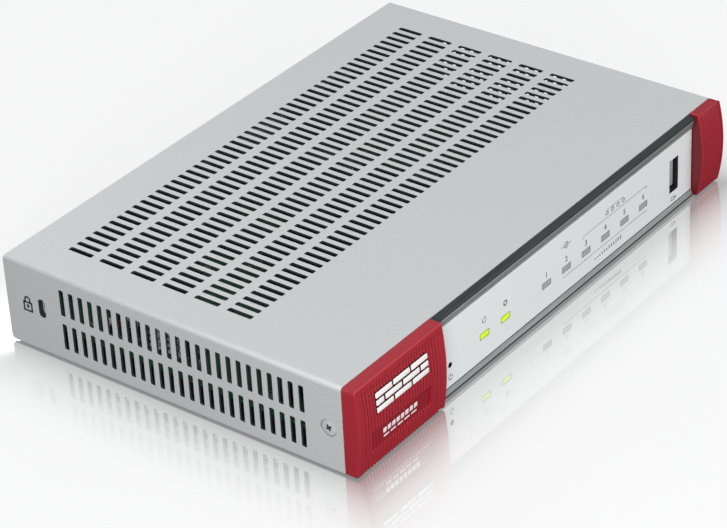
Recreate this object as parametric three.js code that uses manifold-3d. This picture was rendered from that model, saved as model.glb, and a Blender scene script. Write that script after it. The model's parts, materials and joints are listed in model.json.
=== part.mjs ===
// Desktop network firewall: a folded steel cover and tray, a moulded front with two end caps,
// and the circuit board, sockets and switches that it holds.
//
// Millimetres. X runs along the front, +Y points to the rear panel and +Z is up.
// The origin is the centre of the footprint, on the plane that the rubber feet stand on.

import * as THREE from 'three';
import { mergeVertices } from 'three/addons/utils/BufferGeometryUtils.js';
import Module from 'manifold-3d';

const wasm = await Module();
wasm.setup();

// ---------------------------------------------------------------- driving dimensions

const WIDTH = 216;
const DEPTH = 147.3;
const HEIGHT = 33;
const GAP = 0.3; // between neighbouring pieces
const SHEET = 1; // steel thickness
const FOOT_REVEAL = 0.7; // how far the feet stand out below the steel
const NOSE_DEPTH = 7.05; // from the steel's front edge to the foremost point
const REAR_RECESS = 2; // how far the rear panel sits inside the cover
const BEND_RADIUS = 1.5;

const TOP_VENT = { columns: 47, rows: 6, pitchX: 4, pitchY: 13.5, width: 2, length: 10, firstFromFront: 52 };
const SIDE_VENT = { count: 25, pitch: 4.14, width: 2, height: 10, firstFromFront: 15.75, rows: [9.8, 23] };

const LEFT_CAP_WIDTH = 46;
const RIGHT_CAP_WIDTH = 14.5;
// Each cap's depth at its top and bottom edges, and at its foremost line.
const LEFT_CAP = { corner: 5, bulge: NOSE_DEPTH - 0.55 }; // the emblem stands out over the rest
const RIGHT_CAP = { corner: 4, bulge: 6.1 };
const CAP_WALL = 1.8;
const CAP_EDGES = { side: 0.8, bow: 0.7 }; // the caps' small rounded edges

const LIP_REACH = 2.65; // the bezel's two lips, ahead of the steel
const PANEL_REACH = 1.75; // the white panel's face, ahead of the steel
const PANEL_THICKNESS = 1.2;
const PANEL_LOW = 3.1;
const PANEL_HIGH = 27.75;
const PLUG_DEPTH = 1.8; // the bezel's wall, inside the steel
const PLUG_HALF_WIDTH = 105.4;

const LAMP = { pitch: 12, firstPort: 1.4, width: 5, height: 2.2, z: 12.3 };
const STATUS_LAMPS = { power: -3, system: -2 }; // places on the lamp pitch, counted from port 1
const PORT_COUNT = 6;
const RESET = { x: -53.9, z: 11.3, holeRadius: 1, travel: 0.4 };
const USB = { x: 81.5, z: 14.7, width: 5.6, height: 13.1, length: 17 };
const USB_WALL = 0.5;

const BOARD = { halfWidth: 101, front: -59, rear: 69.4, top: 7.4, thickness: 1.6 };
const STANDOFF = { x: 96, front: -30, rear: 36, radius: 3 };
const FOOT = { x: 92, front: -54, rear: 57, radius: 5.5, thickness: 1.8 };

const JACK = { width: 16.2, height: 13.4, depth: 21, mouthWidth: 11.9, mouthHeight: 7, mouthDepth: 14 };
const JACK_PITCH = 16;
const LAN_PORTS = 4;
const REAR_X = { power: 83, dc: 66, console: 47, sfp: 25, wan: 3, lan: -45 };
const SFP = { width: 14.2, height: 9.8, depth: 48.5, wall: 0.5 };
const DC = {
  z: 14.6, collarRadius: 3.8, holeRadius: 3.2, holeDepth: 9.5, pinRadius: 1.05,
  bodyWidth: 9.2, bodyDepth: 14, above: 5,
};
const SWITCH = {
  bezelWidth: 11.4, bezelHeight: 15.4, bezel: 1.5, bodyWidth: 9.6, bodyHeight: 13.8, bodyDepth: 12,
};
const ROCKER = { z: 17, radius: 6.2, width: 7.4, restTilt: 10, pivotInset: 4.05 };

const HALF_WIDTH = WIDTH / 2;
const REAR_EDGE = DEPTH / 2;
const FRONT_LIMIT = -DEPTH / 2;
const STEEL_FRONT = FRONT_LIMIT + NOSE_DEPTH;
const STEEL_LOW = FOOT_REVEAL;
const FLOOR_TOP = STEEL_LOW + SHEET;
const INNER_HALF = HALF_WIDTH - SHEET;
const PANEL_OUT = REAR_EDGE - REAR_RECESS; // the rear panel's outer face
const PANEL_IN = PANEL_OUT - SHEET;
const LEFT_CAP_EDGE = LEFT_CAP_WIDTH - HALF_WIDTH;
const RIGHT_CAP_EDGE = HALF_WIDTH - RIGHT_CAP_WIDTH;
const ON_BOARD = BOARD.top + 0.2; // where components start

// ---------------------------------------------------------------- solids from three.js geometry

const X = new THREE.Vector3(1, 0, 0);
const Y = new THREE.Vector3(0, 1, 0);
const Z = new THREE.Vector3(0, 0, 1);

function solidFrom(geometry) {
  geometry.deleteAttribute('normal');
  geometry.deleteAttribute('uv');
  const merged = mergeVertices(geometry);
  return new wasm.Manifold(new wasm.Mesh({
    numProp: 3,
    vertProperties: new Float32Array(merged.attributes.position.array),
    triVerts: new Uint32Array(merged.index.array),
  }));
}

function box(x0, x1, y0, y1, z0, z1) {
  const geometry = new THREE.BoxGeometry(x1 - x0, y1 - y0, z1 - z0);
  geometry.translate((x0 + x1) / 2, (y0 + y1) / 2, (z0 + z1) / 2);
  return solidFrom(geometry);
}

// A block by its centre in X and Z and its ends in Y.
function blockAt(x, z, width, height, y0, y1) {
  return box(x - width / 2, x + width / 2, y0, y1, z - height / 2, z + height / 2);
}

// Extrudes a shape along an axis. It is drawn in (y, z) for x, in (x, z) for y and in (x, y) for z.
function prism(axis, shape, from, to, curveSegments = 4) {
  const depth = to - from;
  const geometry = new THREE.ExtrudeGeometry(shape, { depth, bevelEnabled: false, curveSegments });
  const frames = {
    x: new THREE.Matrix4().makeBasis(Y, Z, X).setPosition(from, 0, 0),
    y: new THREE.Matrix4().makeBasis(X, Z, Y.clone().negate()).setPosition(0, to, 0),
    z: new THREE.Matrix4().makeTranslation(0, 0, from),
  };
  geometry.applyMatrix4(frames[axis]);
  return solidFrom(geometry);
}

// A round bar or cone along an axis; centre holds its other two coordinates, in X, Y, Z order.
function rod(axis, centre, from, to, radius, endRadius = radius, sides = 20) {
  const geometry = new THREE.CylinderGeometry(endRadius, radius, to - from, sides);
  const middle = (from + to) / 2;
  if (axis === 'x') {
    geometry.rotateZ(-Math.PI / 2);
    geometry.translate(middle, centre[0], centre[1]);
  } else if (axis === 'y') {
    geometry.translate(centre[0], middle, centre[1]);
  } else {
    geometry.rotateX(Math.PI / 2);
    geometry.translate(centre[0], centre[1], middle);
  }
  return solidFrom(geometry);
}

function polygon(points) {
  return new THREE.Shape(points.map(([u, v]) => new THREE.Vector2(u, v)));
}

function roundedRectangle(u, v, width, height, radius) {
  const shape = new THREE.Shape();
  const right = u + width / 2 - radius;
  const left = u - width / 2 + radius;
  const high = v + height / 2 - radius;
  const low = v - height / 2 + radius;
  shape.absarc(right, high, radius, 0, Math.PI / 2, false);
  shape.absarc(left, high, radius, Math.PI / 2, Math.PI, false);
  shape.absarc(left, low, radius, Math.PI, Math.PI * 1.5, false);
  shape.absarc(right, low, radius, Math.PI * 1.5, Math.PI * 2, false);
  return shape;
}

// What a rounded edge takes away: the square corner outside a quarter circle.
function edgeCutter(axis, corner, inward, radius, from, to) {
  const [u, v] = corner;
  const [du, dv] = inward;
  const steps = 4;
  const points = [[u - du, v - dv], [u + du * radius, v - dv]];
  for (let step = 0; step <= steps; step += 1) {
    const angle = (step / steps) * (Math.PI / 2);
    points.push([
      u + du * radius * (1 - Math.sin(angle)),
      v + dv * radius * (1 - Math.cos(angle)),
    ]);
  }
  points.push([u - du, v + dv * radius]);
  const area = THREE.ShapeUtils.area(points.map(([a, b]) => ({ x: a, y: b })));
  return prism(axis, polygon(area < 0 ? points.reverse() : points), from, to);
}

function joined(solids) {
  return solids.reduce((total, solid) => total.add(solid));
}

// ---------------------------------------------------------------- the assembly

const appliance = new THREE.Group();

function finish(color, roughness, metalness) {
  return { color, roughness, metalness };
}

const FINISH = {
  greyPaint: finish(0xc4c7c8, 0.5, 0.3),
  redPlastic: finish(0xb0303c, 0.45, 0),
  darkPlastic: finish(0x474d4e, 0.4, 0),
  whitePlastic: finish(0xe2e6e6, 0.4, 0),
  emblem: finish(0xf4f4f2, 0.35, 0),
  litLens: finish(0xcdf028, 0.3, 0),
  clearLens: finish(0xb4b8b6, 0.3, 0),
  board: finish(0x1d6b3e, 0.5, 0),
  blackPlastic: finish(0x1b1c1d, 0.5, 0),
  chip: finish(0x232425, 0.6, 0),
  steel: finish(0xb9bcbd, 0.3, 0.9),
  blackAluminium: finish(0x2b2d2f, 0.5, 0.6),
  rubber: finish(0x202020, 0.9, 0),
  pad: finish(0x8f95a3, 0.8, 0),
  gold: finish(0xd9b45a, 0.3, 1),
  can: finish(0x27303a, 0.4, 0.2),
};

function place(name, solid, look) {
  const mesh = solid.getMesh();
  const geometry = new THREE.BufferGeometry();
  geometry.setAttribute('position', new THREE.BufferAttribute(mesh.vertProperties, 3));
  geometry.setIndex(new THREE.BufferAttribute(mesh.triVerts, 1));
  const part = new THREE.Mesh(geometry, new THREE.MeshStandardMaterial(look));
  part.name = name;
  appliance.add(part);
}

// ---------------------------------------------------------------- steel cover

const SCREW = {
  y: STEEL_FRONT + 5.7, z: 15.9, headRadius: 2.8, sinkRadius: 3.05,
  shankRadius: 1.4, holeRadius: 1.7, sink: 1.5, inset: 0.3,
};
const TAB = { ahead: 3.5, behind: 6, above: 5 }; // the tray's screw tab, around the side screw
const LOCK = { y: REAR_EDGE - 15.6, z: 17.6, width: 3, height: 7 };
const LOCK_PLATE = { thickness: 1.5, ahead: 5, behind: 8, halfHeight: 9 };
const INNER_LOCK_CLEARANCE = 0.4; // the inner layers' holes are this much larger
const LUG = { x: 97, width: 12, low: 22, screwZ: 26.5 };

function coverProfile() {
  const bend = HALF_WIDTH - BEND_RADIUS;
  const bendZ = HEIGHT - BEND_RADIUS;
  const inside = BEND_RADIUS - SHEET;
  const shape = new THREE.Shape();
  shape.moveTo(-HALF_WIDTH, STEEL_LOW);
  shape.lineTo(-INNER_HALF, STEEL_LOW);
  shape.absarc(-bend, bendZ, inside, Math.PI, Math.PI / 2, true);
  shape.absarc(bend, bendZ, inside, Math.PI / 2, 0, true);
  shape.lineTo(INNER_HALF, STEEL_LOW);
  shape.lineTo(HALF_WIDTH, STEEL_LOW);
  shape.absarc(bend, bendZ, BEND_RADIUS, 0, Math.PI / 2, false);
  shape.absarc(-bend, bendZ, BEND_RADIUS, Math.PI / 2, Math.PI, false);
  return shape;
}

function topSlots() {
  const slots = [];
  const firstX = (-(TOP_VENT.columns - 1) / 2) * TOP_VENT.pitchX;
  for (let row = 0; row < TOP_VENT.rows; row += 1) {
    const y = STEEL_FRONT + TOP_VENT.firstFromFront + row * TOP_VENT.pitchY;
    for (let column = 0; column < TOP_VENT.columns; column += 1) {
      const x = firstX + column * TOP_VENT.pitchX;
      slots.push(box(
        x - TOP_VENT.width / 2, x + TOP_VENT.width / 2,
        y - TOP_VENT.length / 2, y + TOP_VENT.length / 2,
        HEIGHT - SHEET - 0.1, HEIGHT + 0.1,
      ));
    }
  }
  return joined(slots);
}

function sideSlots(side) {
  const slots = [];
  for (const z of SIDE_VENT.rows) {
    for (let slot = 0; slot < SIDE_VENT.count; slot += 1) {
      const y = STEEL_FRONT + SIDE_VENT.firstFromFront + slot * SIDE_VENT.pitch;
      const x = side * (HALF_WIDTH - SHEET / 2);
      const half = SIDE_VENT.width / 2;
      slots.push(blockAt(x, z, SHEET + 0.2, SIDE_VENT.height, y - half, y + half));
    }
  }
  return joined(slots);
}

function lockHole(from, to, clearance) {
  const width = LOCK.width + clearance;
  const shape = roundedRectangle(LOCK.y, LOCK.z, width, LOCK.height + clearance, width / 2 - 0.2);
  return prism('x', shape, from, to);
}

function countersink(side) {
  const outer = side * (HALF_WIDTH + 0.01);
  const inner = side * (HALF_WIDTH - SCREW.sink - SCREW.inset);
  const from = Math.min(outer, inner);
  const to = Math.max(outer, inner);
  const radii = side > 0 ? [SCREW.holeRadius, SCREW.sinkRadius] : [SCREW.sinkRadius, SCREW.holeRadius];
  return rod('x', [SCREW.y, SCREW.z], from, to, radii[0], radii[1]);
}

function topCover() {
  let cover = prism('y', coverProfile(), STEEL_FRONT, REAR_EDGE, 3);
  for (const side of [-1, 1]) {
    const lugX = side * LUG.x;
    cover = cover.add(box(
      lugX - LUG.width / 2, lugX + LUG.width / 2,
      PANEL_IN - GAP - SHEET, PANEL_IN - GAP,
      LUG.low, HEIGHT - SHEET / 2,
    ));
    cover = cover.subtract(rod('y', [lugX, LUG.screwZ], PANEL_IN - 5, PANEL_IN, SCREW.holeRadius));
    cover = cover.subtract(sideSlots(side));
    cover = cover.subtract(countersink(side));
    cover = cover.subtract(edgeCutter(
      'z', [side * HALF_WIDTH, REAR_EDGE], [-side, -1], BEND_RADIUS, STEEL_LOW - 1, HEIGHT + 1,
    ));
  }
  const rearEdges = [
    edgeCutter('x', [REAR_EDGE, HEIGHT], [-1, -1], SHEET * 0.9, -WIDTH, WIDTH),
    edgeCutter('x', [REAR_EDGE, STEEL_LOW], [-1, 1], BEND_RADIUS, -WIDTH, WIDTH),
  ];
  return cover
    .subtract(topSlots())
    .subtract(lockHole(-HALF_WIDTH - 1, -HALF_WIDTH + 2, 0))
    .subtract(joined(rearEdges));
}

// ---------------------------------------------------------------- steel tray with the rear panel

const FLANGE_HEIGHT = 3.6;
const FLANGE_OUT = INNER_HALF - GAP;
const FLANGE_IN = FLANGE_OUT - SHEET;
const FLOOR_VENT = { count: 15, pitch: 6, width: 2, length: 16, rowsFromCentre: [-34, 26] };
const EMBOSS_RADIUS = FOOT.radius + 2;

function rearCutouts() {
  const clearance = GAP * 2;
  const jackZ = ON_BOARD + JACK.height / 2;
  const cut = (x, z, width, height) => (
    blockAt(x, z, width + clearance, height + clearance, PANEL_IN - 1, PANEL_OUT + 1)
  );
  const lanWidth = JACK_PITCH * (LAN_PORTS - 1) + JACK.width;
  return joined([
    cut(REAR_X.console, jackZ, JACK.width, JACK.height),
    cut(REAR_X.wan, jackZ, JACK.width, JACK.height),
    cut(REAR_X.lan, jackZ, lanWidth, JACK.height),
    cut(REAR_X.sfp, ON_BOARD + SFP.height / 2, SFP.width, SFP.height),
    cut(REAR_X.power, ROCKER.z, SWITCH.bodyWidth, SWITCH.bodyHeight),
    rod('y', [REAR_X.dc, DC.z], PANEL_IN - 1, PANEL_OUT + 1, DC.collarRadius + GAP),
  ]);
}

function floorVents() {
  const slots = [];
  for (const y of FLOOR_VENT.rowsFromCentre) {
    for (let slot = 0; slot < FLOOR_VENT.count; slot += 1) {
      const x = (slot - (FLOOR_VENT.count - 1) / 2) * FLOOR_VENT.pitch;
      const low = y - FLOOR_VENT.length / 2;
      const half = FLOOR_VENT.width / 2;
      slots.push(box(x - half, x + half, low, low + FLOOR_VENT.length, STEEL_LOW - 1, FLOOR_TOP + 1));
    }
  }
  return joined(slots);
}

function sideFlange(side) {
  const inner = side * FLANGE_IN;
  const outer = side * FLANGE_OUT;
  const low = Math.min(inner, outer);
  const high = Math.max(inner, outer);
  return joined([
    box(low, high, STEEL_FRONT, PANEL_OUT, STEEL_LOW, STEEL_LOW + FLANGE_HEIGHT),
    box(low, high, SCREW.y - TAB.ahead, SCREW.y + TAB.behind, STEEL_LOW, SCREW.z + TAB.above),
    box(low, high, LOCK.y - 6, PANEL_OUT, STEEL_LOW, HEIGHT - SHEET - GAP),
  ]);
}

function bottomTray() {
  let tray = joined([
    box(-FLANGE_OUT, FLANGE_OUT, STEEL_FRONT, PANEL_OUT, STEEL_LOW, FLOOR_TOP),
    box(-FLANGE_OUT, FLANGE_OUT, PANEL_IN, PANEL_OUT, STEEL_LOW, HEIGHT - SHEET - GAP),
    sideFlange(-1),
    sideFlange(1),
  ]);
  for (const side of [-1, 1]) {
    for (const y of [FOOT.front, FOOT.rear]) {
      const at = [side * FOOT.x, y];
      tray = tray.add(rod('z', at, STEEL_LOW, FOOT.thickness + SHEET + 0.2, EMBOSS_RADIUS));
      tray = tray.subtract(rod('z', at, STEEL_LOW - 1, FOOT.thickness + 0.2, EMBOSS_RADIUS - SHEET));
    }
    for (const y of [STANDOFF.front, STANDOFF.rear]) {
      const at = [side * STANDOFF.x, y];
      tray = tray.add(rod('z', at, STEEL_LOW, BOARD.top - BOARD.thickness - 0.15, STANDOFF.radius));
      tray = tray.subtract(rod('z', at, STEEL_LOW - 1, BOARD.top, SCREW.holeRadius - 0.1));
    }
    const low = Math.min(side * FLANGE_IN, side * FLANGE_OUT) - 0.5;
    tray = tray.subtract(rod('x', [SCREW.y, SCREW.z], low, low + SHEET + 1, SCREW.holeRadius + 0.7));
    const lugScrew = [side * LUG.x, LUG.screwZ];
    tray = tray.subtract(rod('y', lugScrew, PANEL_IN - 1, PANEL_OUT + 1, SCREW.holeRadius));
  }
  return tray
    .subtract(rearCutouts())
    .subtract(floorVents())
    .subtract(lockHole(-FLANGE_OUT - 1, -FLANGE_IN + 1, INNER_LOCK_CLEARANCE));
}

// The plate behind the lock slot, which takes the pull of a security lock.
function lockPlate() {
  const outer = -FLANGE_IN + GAP;
  const { thickness, ahead, behind, halfHeight } = LOCK_PLATE;
  const plate = box(
    outer, outer + thickness, LOCK.y - ahead, LOCK.y + behind, LOCK.z - halfHeight, LOCK.z + halfHeight,
  );
  return plate.subtract(lockHole(outer - 1, outer + thickness + 1, INNER_LOCK_CLEARANCE));
}

// ---------------------------------------------------------------- moulded front

const lampX = (index) => LAMP.firstPort + index * LAMP.pitch;
const PORT_LAMPS = Array.from({ length: PORT_COUNT }, (_, index) => index);
const ALL_LAMPS = [...Object.values(STATUS_LAMPS), ...PORT_LAMPS];

// Everything that has to show through the front: lamp windows, the reset pinhole and the USB mouth.
function frontHoles(from, to, clearance) {
  const windows = ALL_LAMPS.map((index) => (
    blockAt(lampX(index), LAMP.z, LAMP.width + clearance, LAMP.height + clearance, from, to)
  ));
  const pinhole = rod('y', [RESET.x, RESET.z], from, to, RESET.holeRadius, RESET.holeRadius, 20);
  return joined([...windows, pinhole]);
}

function frontBezel() {
  const s = STEEL_FRONT;
  const face = s - 0.25; // just ahead of the steel's edge
  const high = HEIGHT - SHEET - GAP;
  const low = FLOOR_TOP + GAP;
  const middle = polygon([
    [s + PLUG_DEPTH, low], [face, low],
    [face, STEEL_LOW + 0.05], [s - LIP_REACH + 0.05, STEEL_LOW + 0.05],
    [s - LIP_REACH + 0.25, 1.3], [s - PANEL_REACH, PANEL_LOW],
    [face, PANEL_LOW], [face, PANEL_HIGH],
    [s - PANEL_REACH, PANEL_HIGH], [s - LIP_REACH + 0.55, PANEL_HIGH + 1.05],
    [s - LIP_REACH, HEIGHT - 1.4], [s - LIP_REACH + 0.25, HEIGHT - 0.95],
    [face, HEIGHT - 0.15], [face, high],
    [s + PLUG_DEPTH, high],
  ].reverse());
  const strip = prism('x', middle, LEFT_CAP_EDGE + 0.2, RIGHT_CAP_EDGE - 0.2);
  const plug = box(-PLUG_HALF_WIDTH, PLUG_HALF_WIDTH, s, s + PLUG_DEPTH, low, high);
  const room = (USB_WALL + GAP) * 2; // for the socket's shell
  const usbHole = blockAt(USB.x, USB.z, USB.width + room, USB.height + room, face - 1, s + PLUG_DEPTH + 1);
  return strip
    .add(plug)
    .subtract(frontHoles(face - 1, s + PLUG_DEPTH + 1, 0.2))
    .subtract(usbHole);
}

function frontPanel() {
  const front = STEEL_FRONT - PANEL_REACH;
  const back = front + PANEL_THICKNESS;
  const side = 0.35; // the gap to each cap
  const edge = 0.15; // the gap to the bezel
  return box(LEFT_CAP_EDGE + side, RIGHT_CAP_EDGE - side, front, back, PANEL_LOW + edge, PANEL_HIGH - edge)
    .subtract(frontHoles(front - 1, back + 1, 0))
    .subtract(blockAt(USB.x, USB.z, USB.width, USB.height, front - 1, back + 1));
}

// A cap's bowed front is an arc about an axis along X.
const CAP_MIDDLE_Z = (STEEL_LOW + HEIGHT) / 2;
const CAP_HALF_HEIGHT = (HEIGHT - STEEL_LOW) / 2;

function bowOf(cap) {
  const sagitta = cap.bulge - cap.corner;
  const radius = (CAP_HALF_HEIGHT ** 2 + sagitta ** 2) / (2 * sagitta);
  return { ...cap, radius, centreY: STEEL_FRONT - cap.bulge + radius };
}

const LEFT_BOW = bowOf(LEFT_CAP);
const RIGHT_BOW = bowOf(RIGHT_CAP);

// The section between two heights, from a back line forward to the arc, moved in by inset.
function bowedSection(bow, low, high, back, inset) {
  const radius = bow.radius - inset;
  const angleLow = Math.asin((low - CAP_MIDDLE_Z) / radius);
  const angleHigh = Math.asin((high - CAP_MIDDLE_Z) / radius);
  const steps = Math.max(3, Math.round(((high - low) / (HEIGHT - STEEL_LOW)) * 12));
  const points = [[back, high], [back, low]];
  for (let step = 0; step <= steps; step += 1) {
    const angle = angleLow + (angleHigh - angleLow) * (step / steps);
    points.push([bow.centreY - radius * Math.cos(angle), CAP_MIDDLE_Z + radius * Math.sin(angle)]);
  }
  return polygon(points.reverse());
}

function endCap(bow, outer, inner) {
  const low = Math.min(outer, inner);
  const high = Math.max(outer, inner);
  const back = STEEL_FRONT - 0.25;
  const inward = outer < inner ? 1 : -1;
  const foremost = STEEL_FRONT - bow.bulge;
  const body = prism('x', bowedSection(bow, STEEL_LOW, HEIGHT, back, 0), low, high);
  const hollow = prism(
    'x',
    bowedSection(bow, STEEL_LOW + CAP_WALL, HEIGHT - CAP_WALL, back + 1, CAP_WALL + 0.4),
    low + CAP_WALL,
    high - CAP_WALL,
  );
  const topCorner = STEEL_FRONT - bow.corner;
  return body
    .subtract(hollow)
    .subtract(edgeCutter('y', [outer, HEIGHT], [inward, -1], BEND_RADIUS, foremost - 1, back + 1))
    .subtract(edgeCutter('y', [outer, STEEL_LOW], [inward, 1], CAP_EDGES.side, foremost - 1, back + 1))
    .subtract(edgeCutter('x', [topCorner, HEIGHT], [1, -1], CAP_EDGES.bow, low - 1, high + 1))
    .subtract(edgeCutter('x', [topCorner, STEEL_LOW], [1, 1], CAP_EDGES.bow, low - 1, high + 1));
}

const BADGE = { x: -86, z: 10.8, width: 31.3, height: 6.8, depth: 0.5 };
const EMBLEM = { x: -85.5, low: 21, high: 28, width: 27 };

// The emblem's lower edge is the foremost point of the whole appliance.
const EMBLEM_TILT = Math.asin((EMBLEM.low - CAP_MIDDLE_Z) / LEFT_BOW.radius);
const EMBLEM_RELIEF = (LEFT_BOW.centreY - FRONT_LIMIT) / Math.cos(EMBLEM_TILT) - LEFT_BOW.radius;

function leftEndCap() {
  const recess = prism(
    'x',
    bowedSection(LEFT_BOW, BADGE.z - BADGE.height / 2, BADGE.z + BADGE.height / 2, FRONT_LIMIT - 1, BADGE.depth),
    BADGE.x - BADGE.width / 2,
    BADGE.x + BADGE.width / 2,
  );
  return endCap(LEFT_BOW, -HALF_WIDTH, LEFT_CAP_EDGE).subtract(recess);
}

// A generic brick pattern: three raised courses on a thin backing that follows the cap's bow.
function emblem() {
  const courses = 3;
  const joint = 0.5;
  const left = EMBLEM.x - EMBLEM.width / 2;
  const right = EMBLEM.x + EMBLEM.width / 2;
  const courseHeight = (EMBLEM.high - EMBLEM.low + joint) / courses;
  const back = bowedSection(LEFT_BOW, EMBLEM.low, EMBLEM.high, FRONT_LIMIT + 4, -0.22);
  const behind = bowedSection(LEFT_BOW, EMBLEM.low - 1, EMBLEM.high + 1, FRONT_LIMIT + 6, -0.1);
  const clear = prism('x', behind, left - 1, right + 1);
  let mark = prism('x', back, left, right);
  for (let course = 0; course < courses; course += 1) {
    const low = EMBLEM.low + course * courseHeight;
    const section = bowedSection(LEFT_BOW, low, low + courseHeight - joint, FRONT_LIMIT + 4, -EMBLEM_RELIEF);
    const brick = EMBLEM.width / 3;
    const start = course % 2 ? left - brick / 2 : left;
    for (let x = start; x < right - 0.01; x += brick) {
      const from = Math.max(x, left);
      const to = Math.min(x + brick - joint, right);
      mark = mark.add(prism('x', section, from, to));
    }
  }
  return mark.subtract(clear);
}

// Lamps: each clear moulding has one finger per window and a bar that ties the fingers together.
const PIPE = { tip: STEEL_FRONT - PANEL_REACH + 0.1, bend: -61, back: -59.2, low: 9.3 };

function lightPipe(indexes) {
  const width = LAMP.width - 0.2;
  const high = LAMP.z + LAMP.height / 2 - 0.1;
  const low = LAMP.z - LAMP.height / 2 + 0.1;
  const finger = polygon([
    [PIPE.tip, low], [PIPE.bend - 0.6, low], [PIPE.bend, low - 0.6], [PIPE.bend, PIPE.low],
    [PIPE.back, PIPE.low], [PIPE.back, high], [PIPE.tip, high],
  ]);
  const fingers = indexes.map((index) => (
    prism('x', finger, lampX(index) - width / 2, lampX(index) + width / 2)
  ));
  const first = lampX(Math.min(...indexes)) - width / 2;
  const last = lampX(Math.max(...indexes)) + width / 2;
  return joined([...fingers, box(first, last, PIPE.back - 1.2, PIPE.back, high - 0.01, high + 1.2)]);
}

function lampChip(index) {
  const x = lampX(index);
  return box(x - 1.6, x + 1.6, PIPE.bend + 0.1, PIPE.back - 0.1, ON_BOARD, ON_BOARD + 1);
}

// ---------------------------------------------------------------- board and components

function mainBoard() {
  const low = BOARD.top - BOARD.thickness;
  let board = box(-BOARD.halfWidth, BOARD.halfWidth, BOARD.front, BOARD.rear, low, BOARD.top);
  for (const side of [-1, 1]) {
    for (const y of [STANDOFF.front, STANDOFF.rear]) {
      board = board.subtract(rod('z', [side * STANDOFF.x, y], low - 1, BOARD.top + 1, SCREW.holeRadius));
    }
  }
  return board;
}

function chipOnBoard(x, y, width, length, height) {
  return box(x - width / 2, x + width / 2, y - length / 2, y + length / 2, ON_BOARD, ON_BOARD + height);
}

const HEAT_SINK = { x: -14, y: -12, size: 58, base: 2.5, fins: 13, fin: 1.3, top: 26 };
const PROCESSOR_HEIGHT = 2;
const PAD_THICKNESS = 0.6;

function heatSink() {
  const low = ON_BOARD + PROCESSOR_HEIGHT + PAD_THICKNESS + 0.2;
  const left = HEAT_SINK.x - HEAT_SINK.size / 2;
  const right = HEAT_SINK.x + HEAT_SINK.size / 2;
  const pitch = (HEAT_SINK.size - HEAT_SINK.fin) / (HEAT_SINK.fins - 1);
  const points = [[left, low], [right, low]];
  for (let fin = HEAT_SINK.fins - 1; fin >= 0; fin -= 1) {
    const start = left + fin * pitch;
    const end = start + HEAT_SINK.fin;
    points.push([end, HEAT_SINK.top], [start, HEAT_SINK.top]);
    if (fin > 0) {
      points.push([start, low + HEAT_SINK.base], [start - pitch + HEAT_SINK.fin, low + HEAT_SINK.base]);
    }
  }
  return prism('y', polygon(points), HEAT_SINK.y - HEAT_SINK.size / 2, HEAT_SINK.y + HEAT_SINK.size / 2);
}

function capacitor(x, y, radius, height) {
  const top = ON_BOARD + height;
  return rod('z', [x, y], ON_BOARD, top - 0.5, radius)
    .add(rod('z', [x, y], top - 0.51, top, radius, radius - 0.5));
}

function inductor(x, y) {
  const half = 4;
  const chamfer = 1.2;
  const outline = polygon([
    [x - half + chamfer, y - half], [x + half - chamfer, y - half],
    [x + half, y - half + chamfer], [x + half, y + half - chamfer],
    [x + half - chamfer, y + half], [x - half + chamfer, y + half],
    [x - half, y + half - chamfer], [x - half, y - half + chamfer],
  ]);
  return prism('z', outline, ON_BOARD, ON_BOARD + 4.2);
}

// ---------------------------------------------------------------- front socket and reset switch

const USB_FRONT = STEEL_FRONT - 0.35;
const TONGUE = { thickness: 1.9, clearance: 0.6, height: 11, setBack: 1.5 };

function usbShell() {
  const back = USB_FRONT + USB.length;
  return blockAt(USB.x, USB.z, USB.width + USB_WALL * 2, USB.height + USB_WALL * 2, USB_FRONT, back)
    .subtract(blockAt(USB.x, USB.z, USB.width, USB.height, USB_FRONT - 1, back - USB_WALL));
}

function usbInsert() {
  const back = USB_FRONT + USB.length - USB_WALL - 0.15;
  const side = USB.x + USB.width / 2 - TONGUE.clearance;
  const tongue = blockAt(
    side - TONGUE.thickness / 2, USB.z, TONGUE.thickness, TONGUE.height, USB_FRONT + TONGUE.setBack, back,
  );
  return tongue.add(blockAt(USB.x, USB.z, USB.width - 0.3, USB.height - 0.3, back - 3, back));
}

const BUTTON = { radius: 1.7, tip: -63.4, root: -59.9, boreEnd: -59.2 };
const RESET_BODY = { front: -60.9, back: -56, width: 6.4, height: 6.6 };

function resetSwitch() {
  const low = ON_BOARD;
  const bore = rod('y', [RESET.x, RESET.z], RESET_BODY.front - 1, BUTTON.boreEnd, BUTTON.radius + 0.15);
  return box(
    RESET.x - RESET_BODY.width / 2, RESET.x + RESET_BODY.width / 2,
    RESET_BODY.front, RESET_BODY.back,
    low, low + RESET_BODY.height,
  ).subtract(bore);
}

// ---------------------------------------------------------------- rear sockets and power switch

const SOCKET_FACE = PANEL_OUT + 0.3;

// One jack mouth: the plug's space above a stepped keyway for its latch.
function jackMouth(x) {
  const middle = ON_BOARD + JACK.height / 2 + 0.9;
  const low = middle - JACK.mouthHeight / 2;
  const inner = SOCKET_FACE - JACK.mouthDepth;
  const front = SOCKET_FACE + 1;
  return joined([
    blockAt(x, middle, JACK.mouthWidth, JACK.mouthHeight, inner, front),
    box(x - 3.1, x + 3.1, inner + 2, front, low - 1.3, low + 0.1),
    box(x - 1.8, x + 1.8, inner + 4, front, low - 2.5, low + 0.1),
  ]);
}

function jackBlock(x, ports) {
  const width = JACK_PITCH * (ports - 1) + JACK.width;
  const back = SOCKET_FACE - JACK.depth;
  const shell = blockAt(x, ON_BOARD + JACK.height / 2, width, JACK.height, back, SOCKET_FACE);
  const mouths = [];
  for (let port = 0; port < ports; port += 1) {
    mouths.push(jackMouth(x + (port - (ports - 1) / 2) * JACK_PITCH));
  }
  return shell.subtract(joined(mouths));
}

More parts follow.
